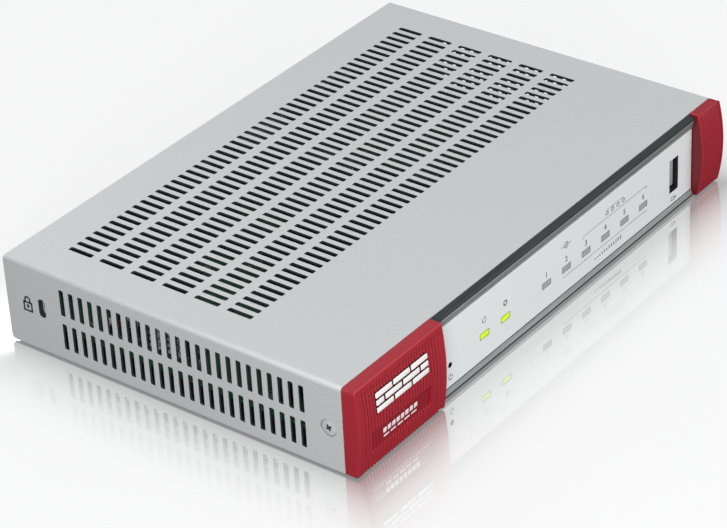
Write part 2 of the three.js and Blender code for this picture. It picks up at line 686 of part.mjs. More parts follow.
function sfpCage() {
  const z = ON_BOARD + SFP.height / 2;
  const back = SOCKET_FACE - SFP.depth;
  const walls = SFP.wall * 2;
  return blockAt(REAR_X.sfp, z, SFP.width, SFP.height, back, SOCKET_FACE)
    .subtract(blockAt(REAR_X.sfp, z, SFP.width - walls, SFP.height - walls, back + SFP.wall, SOCKET_FACE + 1));
}

function dcJack() {
  const at = [REAR_X.dc, DC.z];
  const face = PANEL_IN - GAP;
  const half = DC.bodyWidth / 2;
  return box(REAR_X.dc - half, REAR_X.dc + half, face - DC.bodyDepth, face, ON_BOARD, DC.z + DC.above)
    .add(rod('y', at, face - 1, PANEL_OUT, DC.collarRadius))
    .subtract(rod('y', at, PANEL_OUT - DC.holeDepth, PANEL_OUT + 1, DC.holeRadius));
}

function dcPin() {
  const at = [REAR_X.dc, DC.z];
  const from = PANEL_OUT - DC.holeDepth + 0.15;
  const shoulder = PANEL_OUT - 1.2;
  return rod('y', at, from, shoulder, DC.pinRadius, DC.pinRadius, 16)
    .add(rod('y', at, shoulder - 0.01, shoulder + 0.5, DC.pinRadius, DC.pinRadius * 0.6, 16));
}

const PIVOT_Y = REAR_EDGE - ROCKER.pivotInset;
const TRUNNION = { radius: 1.2, reach: 0.45, hole: 1.4 };
const POCKET_FLOOR = PIVOT_Y - 4;

function powerSwitchBody() {
  const face = PANEL_OUT + 0.2;
  const rim = blockAt(
    REAR_X.power, ROCKER.z, SWITCH.bezelWidth, SWITCH.bezelHeight, face, face + SWITCH.bezel,
  );
  const barrel = blockAt(
    REAR_X.power, ROCKER.z, SWITCH.bodyWidth, SWITCH.bodyHeight, PANEL_OUT - SWITCH.bodyDepth, face + 0.1,
  );
  const pocketHeight = (ROCKER.radius + 0.25) * 2;
  const pocket = blockAt(REAR_X.power, ROCKER.z, ROCKER.width + 0.4, pocketHeight, POCKET_FLOOR, face + 3);
  const reach = ROCKER.width / 2 + TRUNNION.reach + 0.15;
  const bearing = rod('x', [PIVOT_Y, ROCKER.z], REAR_X.power - reach, REAR_X.power + reach, TRUNNION.hole);
  return rim.add(barrel).subtract(pocket).subtract(bearing);
}

// A disc about the pivot, cut to a shallow V outside and flat inside, stored leaning to its "on" side.
function powerRocker() {
  const flat = -2.5; // the inner face, behind the pivot
  const valley = 1.6; // the middle of the V, ahead of the pivot
  const tip = 5.4; // the V's half height
  const steps = 6;
  const points = [[valley, 0]];
  const tipAngle = Math.asin(tip / ROCKER.radius);
  const rootAngle = Math.PI - Math.asin(Math.sqrt(ROCKER.radius ** 2 - flat ** 2) / ROCKER.radius);
  for (let step = 0; step <= steps; step += 1) {
    const angle = tipAngle + (rootAngle - tipAngle) * (step / steps);
    points.push([ROCKER.radius * Math.cos(angle), ROCKER.radius * Math.sin(angle)]);
  }
  for (let step = steps; step >= 0; step -= 1) {
    const angle = tipAngle + (rootAngle - tipAngle) * (step / steps);
    points.push([ROCKER.radius * Math.cos(angle), -ROCKER.radius * Math.sin(angle)]);
  }
  const half = ROCKER.width / 2;
  const reach = half + TRUNNION.reach;
  const rocker = prism('x', polygon(points), -half, half)
    .add(rod('x', [0, 0], -reach, reach, TRUNNION.radius));
  return rocker
    .rotate([-ROCKER.restTilt, 0, 0])
    .translate([REAR_X.power, PIVOT_Y, ROCKER.z]);
}

// ---------------------------------------------------------------- fasteners and feet

const SCREW_LENGTH = { side: 7, pan: 5 };
const PAN_HEAD = { radius: 2.8, crownRadius: 2, crownShare: 0.4 };
const RECESS = { slot: 0.7, depth: 0.9, sideSize: 3, panSize: 3 };

// A driver recess: a cross cut along an axis.
function crossRecess(axis, centre, from, to, size) {
  const half = size / 2;
  const slot = RECESS.slot / 2;
  const [a, b] = centre;
  if (axis === 'x') {
    return box(from, to, a - half, a + half, b - slot, b + slot)
      .add(box(from, to, a - slot, a + slot, b - half, b + half));
  }
  if (axis === 'y') {
    return box(a - half, a + half, from, to, b - slot, b + slot)
      .add(box(a - slot, a + slot, from, to, b - half, b + half));
  }
  return box(a - half, a + half, b - slot, b + slot, from, to)
    .add(box(a - slot, a + slot, b - half, b + half, from, to));
}

function countersunkScrew(side) {
  const centre = [SCREW.y, SCREW.z];
  const face = HALF_WIDTH - SCREW.inset;
  const neck = face - SCREW.sink;
  const tip = face - SCREW_LENGTH.side;
  const span = (from, to) => (side > 0 ? [from, to] : [-to, -from]);
  const radii = (inner, outer) => (side > 0 ? [inner, outer] : [outer, inner]);
  const head = rod('x', centre, ...span(neck, face), ...radii(SCREW.shankRadius, SCREW.headRadius));
  const shank = rod('x', centre, ...span(tip, neck + 0.1), SCREW.shankRadius, SCREW.shankRadius, 12);
  const recess = crossRecess('x', centre, ...span(face - RECESS.depth, face + 1), RECESS.sideSize);
  return head.add(shank).subtract(recess);
}

function panScrew(axis, centre, seat, headHeight) {
  const top = seat + headHeight;
  const shoulder = top - headHeight * PAN_HEAD.crownShare;
  return rod(axis, centre, seat, shoulder, PAN_HEAD.radius, PAN_HEAD.radius, 14)
    .add(rod(axis, centre, shoulder - 0.01, top, PAN_HEAD.radius, PAN_HEAD.crownRadius, 14))
    .add(rod(axis, centre, seat - SCREW_LENGTH.pan, seat + 0.1, SCREW.shankRadius, SCREW.shankRadius, 10))
    .subtract(crossRecess(axis, centre, top - RECESS.depth, top + 1, RECESS.panSize));
}

function foot(x, y) {
  return rod('z', [x, y], 0, 0.4, FOOT.radius - 0.4, FOOT.radius)
    .add(rod('z', [x, y], 0.39, FOOT.thickness, FOOT.radius));
}

// ---------------------------------------------------------------- put together

place('top_cover', topCover(), FINISH.greyPaint);
place('bottom_tray', bottomTray(), FINISH.greyPaint);
place('lock_plate', lockPlate(), FINISH.steel);
place('front_bezel', frontBezel(), FINISH.darkPlastic);
place('front_panel', frontPanel(), FINISH.whitePlastic);
place('left_end_cap', leftEndCap(), FINISH.redPlastic);
place('right_end_cap', endCap(RIGHT_BOW, HALF_WIDTH, RIGHT_CAP_EDGE), FINISH.redPlastic);
place('brick_emblem', emblem(), FINISH.emblem);

place('status_light_pipe', lightPipe(Object.values(STATUS_LAMPS)), FINISH.litLens);
place('port_light_pipe', lightPipe(PORT_LAMPS), FINISH.clearLens);
for (const [name, index] of Object.entries(STATUS_LAMPS)) {
  place(`led_${name}`, lampChip(index), FINISH.litLens);
}
for (const index of PORT_LAMPS) {
  place(`led_port_${index + 1}`, lampChip(index), FINISH.clearLens);
}

place('main_board', mainBoard(), FINISH.board);
place('processor', chipOnBoard(HEAT_SINK.x, HEAT_SINK.y, 24, 24, PROCESSOR_HEIGHT), FINISH.chip);
place(
  'thermal_pad',
  chipOnBoard(HEAT_SINK.x, HEAT_SINK.y, 22, 22, PAD_THICKNESS).translate([0, 0, PROCESSOR_HEIGHT + 0.1]),
  FINISH.pad,
);
place('heat_sink', heatSink(), FINISH.blackAluminium);
place('switch_chip', chipOnBoard(-50, 8, 14, 14, 1.2), FINISH.chip);
place('memory_chip_1', chipOnBoard(32, -26, 12, 9, 1.1), FINISH.chip);
place('memory_chip_2', chipOnBoard(32, -8, 12, 9, 1.1), FINISH.chip);
place('flash_chip', chipOnBoard(52, -34, 18, 12, 1.2), FINISH.chip);
[REAR_X.lan - JACK_PITCH, REAR_X.lan + JACK_PITCH, REAR_X.wan].forEach((x, index) => {
  place(`line_transformer_${index + 1}`, chipOnBoard(x, 40, 15, 11, 6), FINISH.blackPlastic);
});
[[86, 36, 4, 12], [74, 34, 4, 12], [62, 36, 3.15, 8]].forEach(([x, y, radius, height], index) => {
  place(`capacitor_${index + 1}`, capacitor(x, y, radius, height), FINISH.can);
});
place('inductor', inductor(70, 10), FINISH.chip);

place('usb_shell', usbShell(), FINISH.steel);
place('usb_insert', usbInsert(), FINISH.whitePlastic);
place('reset_switch', resetSwitch(), FINISH.blackPlastic);
place(
  'reset_button',
  rod('y', [RESET.x, RESET.z], BUTTON.tip, BUTTON.root, BUTTON.radius),
  FINISH.blackPlastic,
);

place('console_jack', jackBlock(REAR_X.console, 1), FINISH.steel);
place('wan_jack', jackBlock(REAR_X.wan, 1), FINISH.steel);
place('lan_jack_block', jackBlock(REAR_X.lan, LAN_PORTS), FINISH.steel);
place('sfp_cage', sfpCage(), FINISH.steel);
place('dc_jack', dcJack(), FINISH.blackPlastic);
place('dc_pin', dcPin(), FINISH.gold);
place('power_switch_body', powerSwitchBody(), FINISH.blackPlastic);
place('power_rocker', powerRocker(), FINISH.blackPlastic);

for (const [side, name] of [[-1, 'left'], [1, 'right']]) {
  place(`side_screw_${name}`, countersunkScrew(side), FINISH.greyPaint);
  place(`rear_screw_${name}`, panScrew('y', [side * LUG.x, LUG.screwZ], PANEL_OUT + 0.1, 1.7), FINISH.steel);
  for (const end of ['front', 'rear']) {
    const screwAt = [side * STANDOFF.x, STANDOFF[end]];
    place(`board_screw_${name}_${end}`, panScrew('z', screwAt, BOARD.top + 0.1, 1.8), FINISH.steel);
    place(`foot_${name}_${end}`, foot(side * FOOT.x, FOOT[end]), FINISH.rubber);
  }
}

export default appliance;
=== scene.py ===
"""Looks of the desktop firewall: painted steel case, moulded front, ribbed caps, sockets and the board inside."""

import json
import math
import random

import bmesh
import bpy
from mathutils import Matrix, Vector


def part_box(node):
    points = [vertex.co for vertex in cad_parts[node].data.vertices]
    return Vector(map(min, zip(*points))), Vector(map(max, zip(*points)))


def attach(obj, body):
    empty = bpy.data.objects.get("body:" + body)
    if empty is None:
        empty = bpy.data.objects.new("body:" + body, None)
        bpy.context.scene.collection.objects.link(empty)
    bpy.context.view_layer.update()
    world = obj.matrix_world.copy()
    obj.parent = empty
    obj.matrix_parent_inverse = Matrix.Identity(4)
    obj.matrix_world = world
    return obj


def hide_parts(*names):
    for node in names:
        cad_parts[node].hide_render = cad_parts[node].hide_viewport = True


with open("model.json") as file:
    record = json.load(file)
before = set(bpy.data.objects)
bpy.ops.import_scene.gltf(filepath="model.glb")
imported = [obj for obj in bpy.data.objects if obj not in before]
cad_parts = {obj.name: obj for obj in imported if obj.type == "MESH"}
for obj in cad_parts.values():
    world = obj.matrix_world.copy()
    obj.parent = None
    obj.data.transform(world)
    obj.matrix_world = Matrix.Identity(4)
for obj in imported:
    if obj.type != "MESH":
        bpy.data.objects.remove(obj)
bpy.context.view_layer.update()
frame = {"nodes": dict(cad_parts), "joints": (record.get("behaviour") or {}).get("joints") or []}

# Every length below is in millimetres, except where the camera, the lights and the floor stand.
MM = 0.001
QUARTER = math.pi / 2


def box(node):
    """The low and the high corner of a CAD node's box."""
    return [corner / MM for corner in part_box(node)]


def middle(node):
    low, high = box(node)
    return (low + high) / 2


cover_low, cover_high = box("top_cover")
tray_low, tray_high = box("bottom_tray")
left_cap_low, left_cap_high = box("left_end_cap")
right_cap_low, right_cap_high = box("right_end_cap")
panel_low, panel_high = box("front_panel")
board_low, board_high = box("main_board")
STEEL_FRONT = cover_low.y
PANEL_FACE = panel_low.y
REAR_FACE = tray_high.y
STEEL = 1.0


def add_object(name, data):
    thing = bpy.data.objects.new(name, data)
    bpy.context.scene.collection.objects.link(thing)
    return thing


# ---- camera and light

LENS = 141.49
SENSOR = 36.0
CAMERA_PLACE = (-0.66126, -0.51927, 0.5260)
CAMERA_RIGHT = Vector((0.59998, -0.79871, -0.04561))
CAMERA_DOWN = Vector((-0.44887, -0.28890, -0.84561))


def make_camera():
    data = bpy.data.cameras.new("camera")
    data.lens = LENS
    data.sensor_width = SENSOR
    data.clip_start = 0.01
    right = CAMERA_RIGHT.normalized()
    up = -(CAMERA_DOWN - right * CAMERA_DOWN.dot(right)).normalized()
    rotation = Matrix((right, up, right.cross(up))).transposed().to_4x4()
    camera = add_object("camera", data)
    camera.matrix_world = Matrix.Translation(CAMERA_PLACE) @ rotation
    bpy.context.scene.camera = camera


def area_light(name, place, target, size, power):
    data = bpy.data.lights.new(name, "AREA")
    data.shape = "RECTANGLE"
    data.size, data.size_y = size
    data.energy = power
    light = add_object(name, data)
    light.location = place
    light.rotation_euler = (Vector(target) - Vector(place)).to_track_quat("-Z", "Y").to_euler()
    light.visible_camera = False


def make_world(strength, seen):
    """A pale studio: it lights the object at one strength and is seen directly at another."""
    world = bpy.data.worlds.new("studio")
    world.use_nodes = True
    tree = world.node_tree
    background = tree.nodes["Background"]
    background.inputs["Color"].default_value = (0.97, 0.985, 1.0, 1)
    path = tree.nodes.new("ShaderNodeLightPath")
    level = tree.nodes.new("ShaderNodeMapRange")
    level.inputs["To Min"].default_value = strength
    level.inputs["To Max"].default_value = seen
    tree.links.new(path.outputs["Is Camera Ray"], level.inputs["Value"])
    tree.links.new(level.outputs["Result"], background.inputs["Strength"])
    bpy.context.scene.world = world


# ---- materials


def linear(red, green, blue):
    """A display colour, 0 to 255 a channel, as the linear colour that shaders use."""
    channels = (value / 255 for value in (red, green, blue))
    return (*(v / 12.92 if v <= 0.04045 else ((v + 0.055) / 1.055) ** 2.4 for v in channels), 1.0)


def shade(colour, factor):
    return (*(min(1.0, channel * factor) for channel in colour[:3]), 1.0)


class Nodes:
    """Short calls for a material's node tree. Any input is a value or another node's output."""

    def __init__(self, name):
        self.material = bpy.data.materials.new(name)
        self.material.use_nodes = True
        self.tree = self.material.node_tree
        self.place = self.add("TexCoord").outputs["Object"]

    def put(self, socket, value):
        if isinstance(value, bpy.types.NodeSocket):
            self.tree.links.new(value, socket)
        else:
            socket.default_value = value

    def add(self, kind, inputs=(), **settings):
        """A node, with inputs as (name or index, value) pairs."""
        node = self.tree.nodes.new("ShaderNode" + kind)
        for key, value in settings.items():
            setattr(node, key, value)
        for key, value in inputs:
            self.put(node.inputs[key], value)
        return node

    def noise(self, scale, detail=3.0, roughness=0.5, stretch=(1, 1, 1)):
        mapping = self.add("Mapping", [("Vector", self.place), ("Scale", stretch)])
        return self.add("TexNoise", [
            ("Vector", mapping.outputs["Vector"]), ("Scale", scale), ("Detail", detail), ("Roughness", roughness),
        ]).outputs["Fac"]

    def spread(self, value, low, high, from_low=0.3, from_high=0.7):
        """Lays the range from_low to from_high of a value over low to high."""
        return self.add("MapRange", [
            ("Value", value), ("From Min", from_low), ("From Max", from_high), ("To Min", low), ("To Max", high),
        ]).outputs["Result"]

    def mix(self, amount, first, second, blend="MIX"):
        node = self.add("Mix", [("Factor", amount)], data_type="RGBA", blend_type=blend)
        for socket, colour in zip([s for s in node.inputs if s.type == "RGBA"], (first, second)):
            self.put(socket, colour)
        return next(s for s in node.outputs if s.type == "RGBA")

    def speckle(self, grain, colour, low, high):
        return self.mix(self.spread(grain, 0, 1), shade(colour, low), shade(colour, high))

    def calc(self, operation, *values):
        return self.add("Math", enumerate(values), operation=operation).outputs[0]

    def blend(self, amount, first, second):
        return self.add("MixShader", [(0, amount), (1, first), (2, second)]).outputs[0]

    def axis(self, name):
        """One coordinate of the surface point, in metres."""
        return self.add("SeparateXYZ", [("Vector", self.place)]).outputs[name]

    def bump(self, value, depth, strength=1.0, after=None):
        node = self.add("Bump", [("Height", value), ("Distance", depth * MM), ("Strength", strength)])
        if after is not None:
            self.put(node.inputs["Normal"], after)
        return node.outputs["Normal"]

    def surface(self, **values):
        shader = self.tree.nodes["Principled BSDF"]
        for key, value in values.items():
            self.put(shader.inputs[key.replace("_", " ")], value)
        return self.material


def grained(name, colour, roughness, metallic, grain, variation, relief, stretch=(1, 1, 1)):
    """A plain finish with fine grain: colour, gloss and relief all vary a little, and larger patches drift."""
    n = Nodes(name)
    fine = n.noise(grain, 4.0, 0.6, stretch)
    speckled = n.speckle(fine, colour, 1 - variation, 1 + variation)
    return n.surface(
        Base_Color=n.mix(n.spread(n.noise(60, 2.0), 0, 0.5), speckled, shade(colour, 1 - variation)),
        Roughness=n.spread(fine, roughness - 0.06, roughness + 0.06),
        Normal=n.bump(fine, relief),
        Metallic=metallic,
    )


def case_paint():
    """Pale grey powder coat: tiny flecks, an orange-peel relief and a soft sheen."""
    n = Nodes("case_paint")
    colour = linear(203, 206, 206)
    flecks = n.noise(2600, 2.0, 0.7)
    peel = n.noise(900, 3.0, 0.55)
    flecked = n.mix(n.spread(flecks, 0, 1, 0.35, 0.65), shade(colour, 0.91), shade(colour, 1.06))
    return n.surface(
        Base_Color=n.mix(n.spread(n.noise(22, 2.0), 0, 0.6), flecked, shade(colour, 0.985)),
        Roughness=n.spread(peel, 0.40, 0.52),
        Normal=n.bump(peel, 0.02, 0.5, after=n.bump(flecks, 0.008, 0.5)),
        Metallic=0.12,
    )


def cap_plastic(name, colour, smoothest, roughest):
    """Satin red moulding with a faint flow mottling."""
    n = Nodes(name)
    colour = (*colour, 1.0)
    fine = n.noise(2200, 3.0, 0.6)
    grain = n.speckle(fine, colour, 0.93, 1.06)
    return n.surface(
        Base_Color=n.mix(n.spread(n.noise(90, 2.0), 0, 0.7), grain, shade(colour, 0.94)),
        Roughness=n.spread(fine, smoothest, roughest),
        Normal=n.bump(fine, 0.01),
        Specular_IOR_Level=0.45,
    )


def bezel_plastic():
    """Dark grey moulding in bands of height: the lips, with paler bands painted on as light and highlight on their
    facets, and darker bands painted on as shadow at the seams.
    """
    dark, pale, seam_shadow = linear(50, 56, 58), linear(150, 154, 154), linear(24, 26, 27)
    # pale bands are painted light and highlight on the facets; seam_shadow bands are painted shadow in the seams
    bands = [
        (1.25, pale), (panel_low.z - 0.4, seam_shadow), (panel_low.z + 0.1, dark), (panel_high.z - 0.1, seam_shadow),
        (panel_high.z + 0.2, pale), (29.3, dark), (29.6, pale), (cover_high.z - 1.9, dark),
    ]
    n = Nodes("bezel_plastic")
    brushed = n.noise(700, 3.0, 0.6, (0.04, 1, 1.4))
    ramp = n.add("ValToRGB", [("Fac", n.spread(n.axis("Z"), 0, 1, 0, cover_high.z * MM))])
    ramp.color_ramp.interpolation = "CONSTANT"
    stops = ramp.color_ramp.elements
    stops[0].position, stops[0].color = 0.0, dark
    stops.remove(stops[1])
    for height, colour in bands:
        stops.new(height / cover_high.z).color = colour
    streaks = n.mix(n.spread(brushed, 0, 1), (0.82, 0.82, 0.82, 1), (1.1, 1.1, 1.1, 1))
    return n.surface(
        Base_Color=n.mix(1.0, ramp.outputs["Color"], streaks, "MULTIPLY"),
        Roughness=n.spread(brushed, 0.34, 0.48),
        Normal=n.bump(brushed, 0.012),
        Specular_IOR_Level=0.3,
    )


def lens_plastic(name, colour, glow):
    """A frosted lamp lens, lit where glow is above nought."""
    n = Nodes(name)
    frost = n.noise(1800, 2.0)
    tint = n.speckle(frost, colour, 0.93, 1.05)
    lit = {"Emission_Color": tint, "Emission_Strength": glow} if glow else {}
    return n.surface(Base_Color=tint, Roughness=n.spread(frost, 0.25, 0.4), Normal=n.bump(frost, 0.01), **lit)


def board_laminate():
    """Green solder mask over a grid of runs, with paler lines between them."""
    n = Nodes("board_laminate")
    green = linear(32, 116, 76)
    runs = n.add("TexBrick", [
        ("Vector", n.place), ("Scale", 260), ("Mortar Size", 0.03),
        ("Color1", shade(green, 0.75)), ("Color2", green), ("Mortar", shade(green, 1.55)),
    ])
    fine = n.noise(900, 3.0)
    return n.surface(
        Base_Color=n.mix(n.spread(fine, 0, 0.5), runs.outputs["Color"], green),
        Roughness=n.spread(fine, 0.28, 0.42),
        Normal=n.bump(runs.outputs["Fac"], 0.03),
    )


FLOOR_LEVEL = 0.937
FLOOR_BOUNCE = 0.12
FLOOR_SHADOW = 0.24
MIRROR = 0.7
MIRROR_REACH = 0.045
MIRROR_POWER = 3.2


def grey(level):
    return (level, level, level, 1.0)


def floor_paper():
    """Pale and evenly lit, with a soft mirror image that fades away from the object's foot."""
    n = Nodes("floor_paper")
    pale = n.mix(n.spread(n.noise(6, 2.0), 0, 1), grey(FLOOR_LEVEL * 0.995), grey(FLOOR_LEVEL))
    glow = n.add("Emission", [("Color", pale)]).outputs[0]
    matt = n.add("BsdfDiffuse", [("Color", pale)]).outputs[0]
    table = n.blend(FLOOR_SHADOW, glow, matt)
    # distance from the object's footprint
    beyond = [
        n.calc("MAXIMUM", n.calc("SUBTRACT", n.calc("ABSOLUTE", n.axis(name)), half * MM), 0.0)
        for name, half in (("X", cover_high.x), ("Y", cover_high.y))
    ]
    near = n.spread(n.calc("MAXIMUM", *beyond), 1.0, 0.0, 0.0, MIRROR_REACH)
    fade = n.spread(n.calc("POWER", near, MIRROR_POWER), 0.0, MIRROR, 0.0, 1.0)
    mirror = n.add("BsdfGlossy", [("Roughness", 0.04)]).outputs[0]
    # what the object itself sees of the floor is dimmer, so that its lower faces keep their shade
    dim = n.add("BsdfDiffuse", [("Color", grey(FLOOR_BOUNCE))]).outputs[0]
    seen = n.blend(n.add("LightPath").outputs["Is Camera Ray"], dim, n.blend(fade, table, mirror))
    n.put(n.tree.nodes["Material Output"].inputs["Surface"], seen)
    return n.material


LOOKS = {
    "case_paint": case_paint(),
    "cap_plastic": cap_plastic("cap_plastic", (0.38, 0.020, 0.034), 0.34, 0.46),
    # painted shade in the rib valleys
    "cap_valley_shade": cap_plastic("cap_valley_shade", (0.15, 0.006, 0.011), 0.4, 0.5),
    # glossier recess red, darkened as painted shade
    "badge_plastic_shaded": cap_plastic("badge_plastic_shaded", (0.30, 0.011, 0.022), 0.16, 0.24),
    # painted shade on the caps' inner ends
    "cap_inner_wall_shade": cap_plastic("cap_inner_wall_shade", (0.17, 0.008, 0.014), 0.34, 0.46),
    "bezel_plastic": bezel_plastic(),
    "lit_lens": lens_plastic("lit_lens", linear(200, 236, 34), 0.36),
    "clear_lens": lens_plastic("clear_lens", linear(176, 180, 180), 0.0),
    "board_laminate": board_laminate(),
    "floor_paper": floor_paper(),
}
# name, colour, roughness, metallic, grain, variation, relief and, where the grain runs one way, its stretch
PLAIN_LOOKS = (
    ("panel_plastic", (240, 243, 243), 0.32, 0.0, 1400, 0.012, 0.004),
    ("emblem_plastic", (244, 244, 242), 0.3, 0.0, 1800, 0.02, 0.005),
    # painted shade on the emblem's walls
    ("emblem_wall", (62, 12, 18), 0.5, 0.0, 1500, 0.1, 0.01),
    ("component_plastic", (38, 39, 41), 0.5, 0.0, 1200, 0.12, 0.02),
    ("switch_plastic", (30, 31, 33), 0.36, 0.0, 1600, 0.1, 0.01),
    ("socket_steel", (196, 198, 200), 0.28, 1.0, 500, 0.06, 0.006, (0.1, 1, 1)),
    # painted shade inside the USB shell
    ("socket_inside", (48, 50, 52), 0.5, 0.5, 700, 0.08, 0.006),
    ("hardware_steel", (184, 187, 190), 0.34, 1.0, 900, 0.08, 0.008),
    ("sink_aluminium", (46, 49, 51), 0.45, 0.6, 700, 0.06, 0.01, (1, 0.05, 1)),
    ("contact_brass", (226, 190, 104), 0.25, 1.0, 900, 0.05, 0.004),
    ("foot_rubber", (40, 40, 41), 0.8, 0.0, 1300, 0.15, 0.03),
    ("pad_silicone", (150, 156, 170), 0.7, 0.0, 800, 0.06, 0.02),
    ("capacitor_sleeve", (34, 40, 52), 0.3, 0.0, 700, 0.1, 0.006),
    ("ceramic_tan", (176, 150, 112), 0.45, 0.0, 1500, 0.08, 0.01),
    # painted shade: dark for the inside of cover and tray, slot walls and screw recesses
    ("inner_steel", (52, 55, 57), 0.6, 0.0, 900, 0.1, 0.01),
    # painted shade on the screw countersink walls
    ("screw_rim_paint", (120, 124, 126), 0.55, 0.0, 900, 0.1, 0.01),
    ("tongue_grey", (172, 176, 176), 0.4, 0.0, 1400, 0.05, 0.006),
    ("panel_ink", (104, 108, 110), 0.5, 0.0, 2500, 0.08, 0.003),
    ("case_ink", (58, 62, 64), 0.5, 0.0, 2500, 0.08, 0.003),
    ("white_ink", (235, 235, 232), 0.5, 0.0, 2500, 0.05, 0.003),
    # painted shade round the lamp windows
    ("lit_edge", (118, 138, 44), 0.5, 0.0, 2000, 0.06, 0.003),
    ("clear_edge", (120, 124, 125), 0.5, 0.0, 2000, 0.06, 0.003),
)
for look, display_colour, *finish in PLAIN_LOOKS:
    LOOKS[look] = grained(look, linear(*display_colour), *finish)

# ---- mesh helpers

SHARP_EDGE = math.radians(28)
LARGE_FACE = 160 * MM ** 2


def point(bm, place):
    return bm.verts.new(Vector(place) * MM)


def mesh_object(name, bm, looks):
    mesh = bpy.data.meshes.new(name)
    bm.to_mesh(mesh)
    bm.free()
    for look in looks:
        mesh.materials.append(LOOKS[look])
    return add_object(name, mesh)


def finish_piece(name, bm, looks, node=None, smooth=None, body="chassis", flat=()):
    """Turns a bmesh into a piece on a body, with its looks as materials.

    Edges of up to smooth degrees look round, except in the flat faces. node is the CAD node that it replaces.
    """
    bmesh.ops.recalc_face_normals(bm, faces=bm.faces)
    for face in bm.faces:
        face.smooth = smooth is not None and face not in flat
    for edge in bm.edges:
        edge.smooth = smooth is not None and edge.calc_face_angle(0) <= math.radians(smooth)
    looks = [looks] if isinstance(looks, str) else looks
    piece = mesh_object(name, bm, looks)
    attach(piece, body)
    if node:
        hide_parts(node)
    return piece


def round_edges(bm, edges, radius, segments):
    return bmesh.ops.bevel(
        bm, geom=edges, offset=radius * MM, offset_type="OFFSET", segments=segments, profile=0.5,
        affect="EDGES", clamp_overlap=True,
    )["faces"]


def refined(node, look, bevel=0.12, segments=2, body="chassis", second=None):
    """A CAD node's own solid with its flat faces made whole, its edges rounded and its round stretches smoothed.

    second is (look, test): the faces whose centre and normal pass the test get that look.
    """
    bm = bmesh.new()
    bm.from_mesh(frame["nodes"][node].data)
    bmesh.ops.remove_doubles(bm, verts=bm.verts, dist=0.001 * MM)
    bmesh.ops.dissolve_limit(
        bm, angle_limit=math.radians(1.0), use_dissolve_boundaries=False, verts=bm.verts, edges=bm.edges,
    )
    if bevel:
        sharp = [edge for edge in bm.edges if edge.is_manifold and edge.calc_face_angle(0) > SHARP_EDGE]
        edges = set(round_edges(bm, sharp, bevel, segments))
        # flat faces border only on rounded edges, on their own plane or on a sharp corner
        flat = {
            face for face in bm.faces
            if face not in edges and all(
                other in edges or not math.cos(SHARP_EDGE) <= other.normal.dot(face.normal) <= 0.9999
                for edge in face.edges for other in edge.link_faces
            )
        }
    else:
        flat = {face for face in bm.faces if face.calc_area() > LARGE_FACE}
    looks = [look]
    if second:
        looks.append(second[0])
        for face in bm.faces:
            face.material_index = int(second[1](face.calc_center_median() / MM, face.normal))
    finish_piece(node + "_shape", bm, looks, node, 40, body, flat)


def rounded_loop(centre, half, radius, grow=0.0, steps=4):
    """Points round a rounded rectangle, corner by corner, grown on every side."""
    radius = max(radius + grow, 0.02)
    points = []
    for corner, signs in enumerate(((1, 1), (-1, 1), (-1, -1), (1, -1))):
        for step in range(steps + 1):
            angle = (corner + step / steps) * QUARTER
            round_part = (radius * math.cos(angle), radius * math.sin(angle))
            points.append([
                c + sign * (h + grow - radius) + r for c, h, sign, r in zip(centre, half, signs, round_part)
            ])
    return points


def round_loop(centre, radius, steps=40):
    u, v = centre
    turns = [2 * math.pi * k / steps for k in range(steps)]
    return [(u + radius * math.cos(turn), v + radius * math.sin(turn)) for turn in turns]


def bridge(bm, first, second):
    """Faces between two loops with the same count of vertices. Where a loop is one vertex, they are triangles."""
    made = []
    for k in range(len(first)):
        following = (k + 1) % len(first)
        corners = dict.fromkeys((first[k], first[following], second[following], second[k]))
        if len(corners) > 2:
            made.append(bm.faces.new(list(corners)))
    return made


def skin(bm, loops, closed=False):
    """Bridges a row of loops and may close both ends. Gives the faces between each pair."""
    bands = [bridge(bm, before, after) for before, after in zip(loops, loops[1:])]
    if closed:
        bm.faces.new(loops[0])
        bm.faces.new(loops[-1])
    return bands


def fill(bm, loops):
    """One flat region of faces inside the first loop and outside the others."""
    edges = []
    for loop in loops:
        for vert, following in zip(loop, loop[1:] + loop[:1]):
            edges.append(bm.edges.get((vert, following)) or bm.edges.new((vert, following)))
    made = bmesh.ops.triangle_fill(bm, use_beauty=True, use_dissolve=False, edges=edges)["geom"]
    return [face for face in made if isinstance(face, bmesh.types.BMFace)]


def turned(bm, profile, place, steps=40):
    """Revolves (radius, height) points; place turns (u, v, height) into a point. Ends on the axis close up."""
    loops = []
    for radius, height in profile:
        if radius:
            loops.append([point(bm, place(u, v, height)) for u, v in round_loop((0, 0), radius, steps)])
        else:
            loops.append([point(bm, place(0, 0, height))] * steps)
    skin(bm, loops)


def upright(x, y):
    """Lays turned work round a vertical axis."""
    return lambda u, v, h: (x + u, y + v, h)


def rearward(x, z):
    """Lays turned work round an axis that runs to the rear."""
    return lambda u, v, h: (x - u, h, z + v)


def block(bm, low, high, edge, segments=2):
    """A box between two corners with rounded edges."""
    low, high = Vector(low) * MM, Vector(high) * MM
    made = bmesh.ops.create_cube(bm, size=1.0)["verts"]
    for vert in made:
        vert.co = (low + high) / 2 + vert.co * (high - low)
    round_edges(bm, list({side for vert in made for side in vert.link_edges}), edge, segments)


# ---- the folded cover

BEND = 1.5
HALF_WIDTH = cover_high.x
LEG = cover_high.z - BEND - cover_low.z
ARC = BEND * QUARTER
SHEET_SPAN = 2 * (LEG + ARC + HALF_WIDTH - BEND)
BEND_STEPS = 12
SOFT_EDGE = 0.14
SOFT_RIM = [(SOFT_EDGE, 0.0), (0.3 * SOFT_EDGE, 0.3 * SOFT_EDGE), (0.0, SOFT_EDGE), (0.0, STEEL)]
FRONT_CORNER, REAR_CORNER = 0.4, 1.5

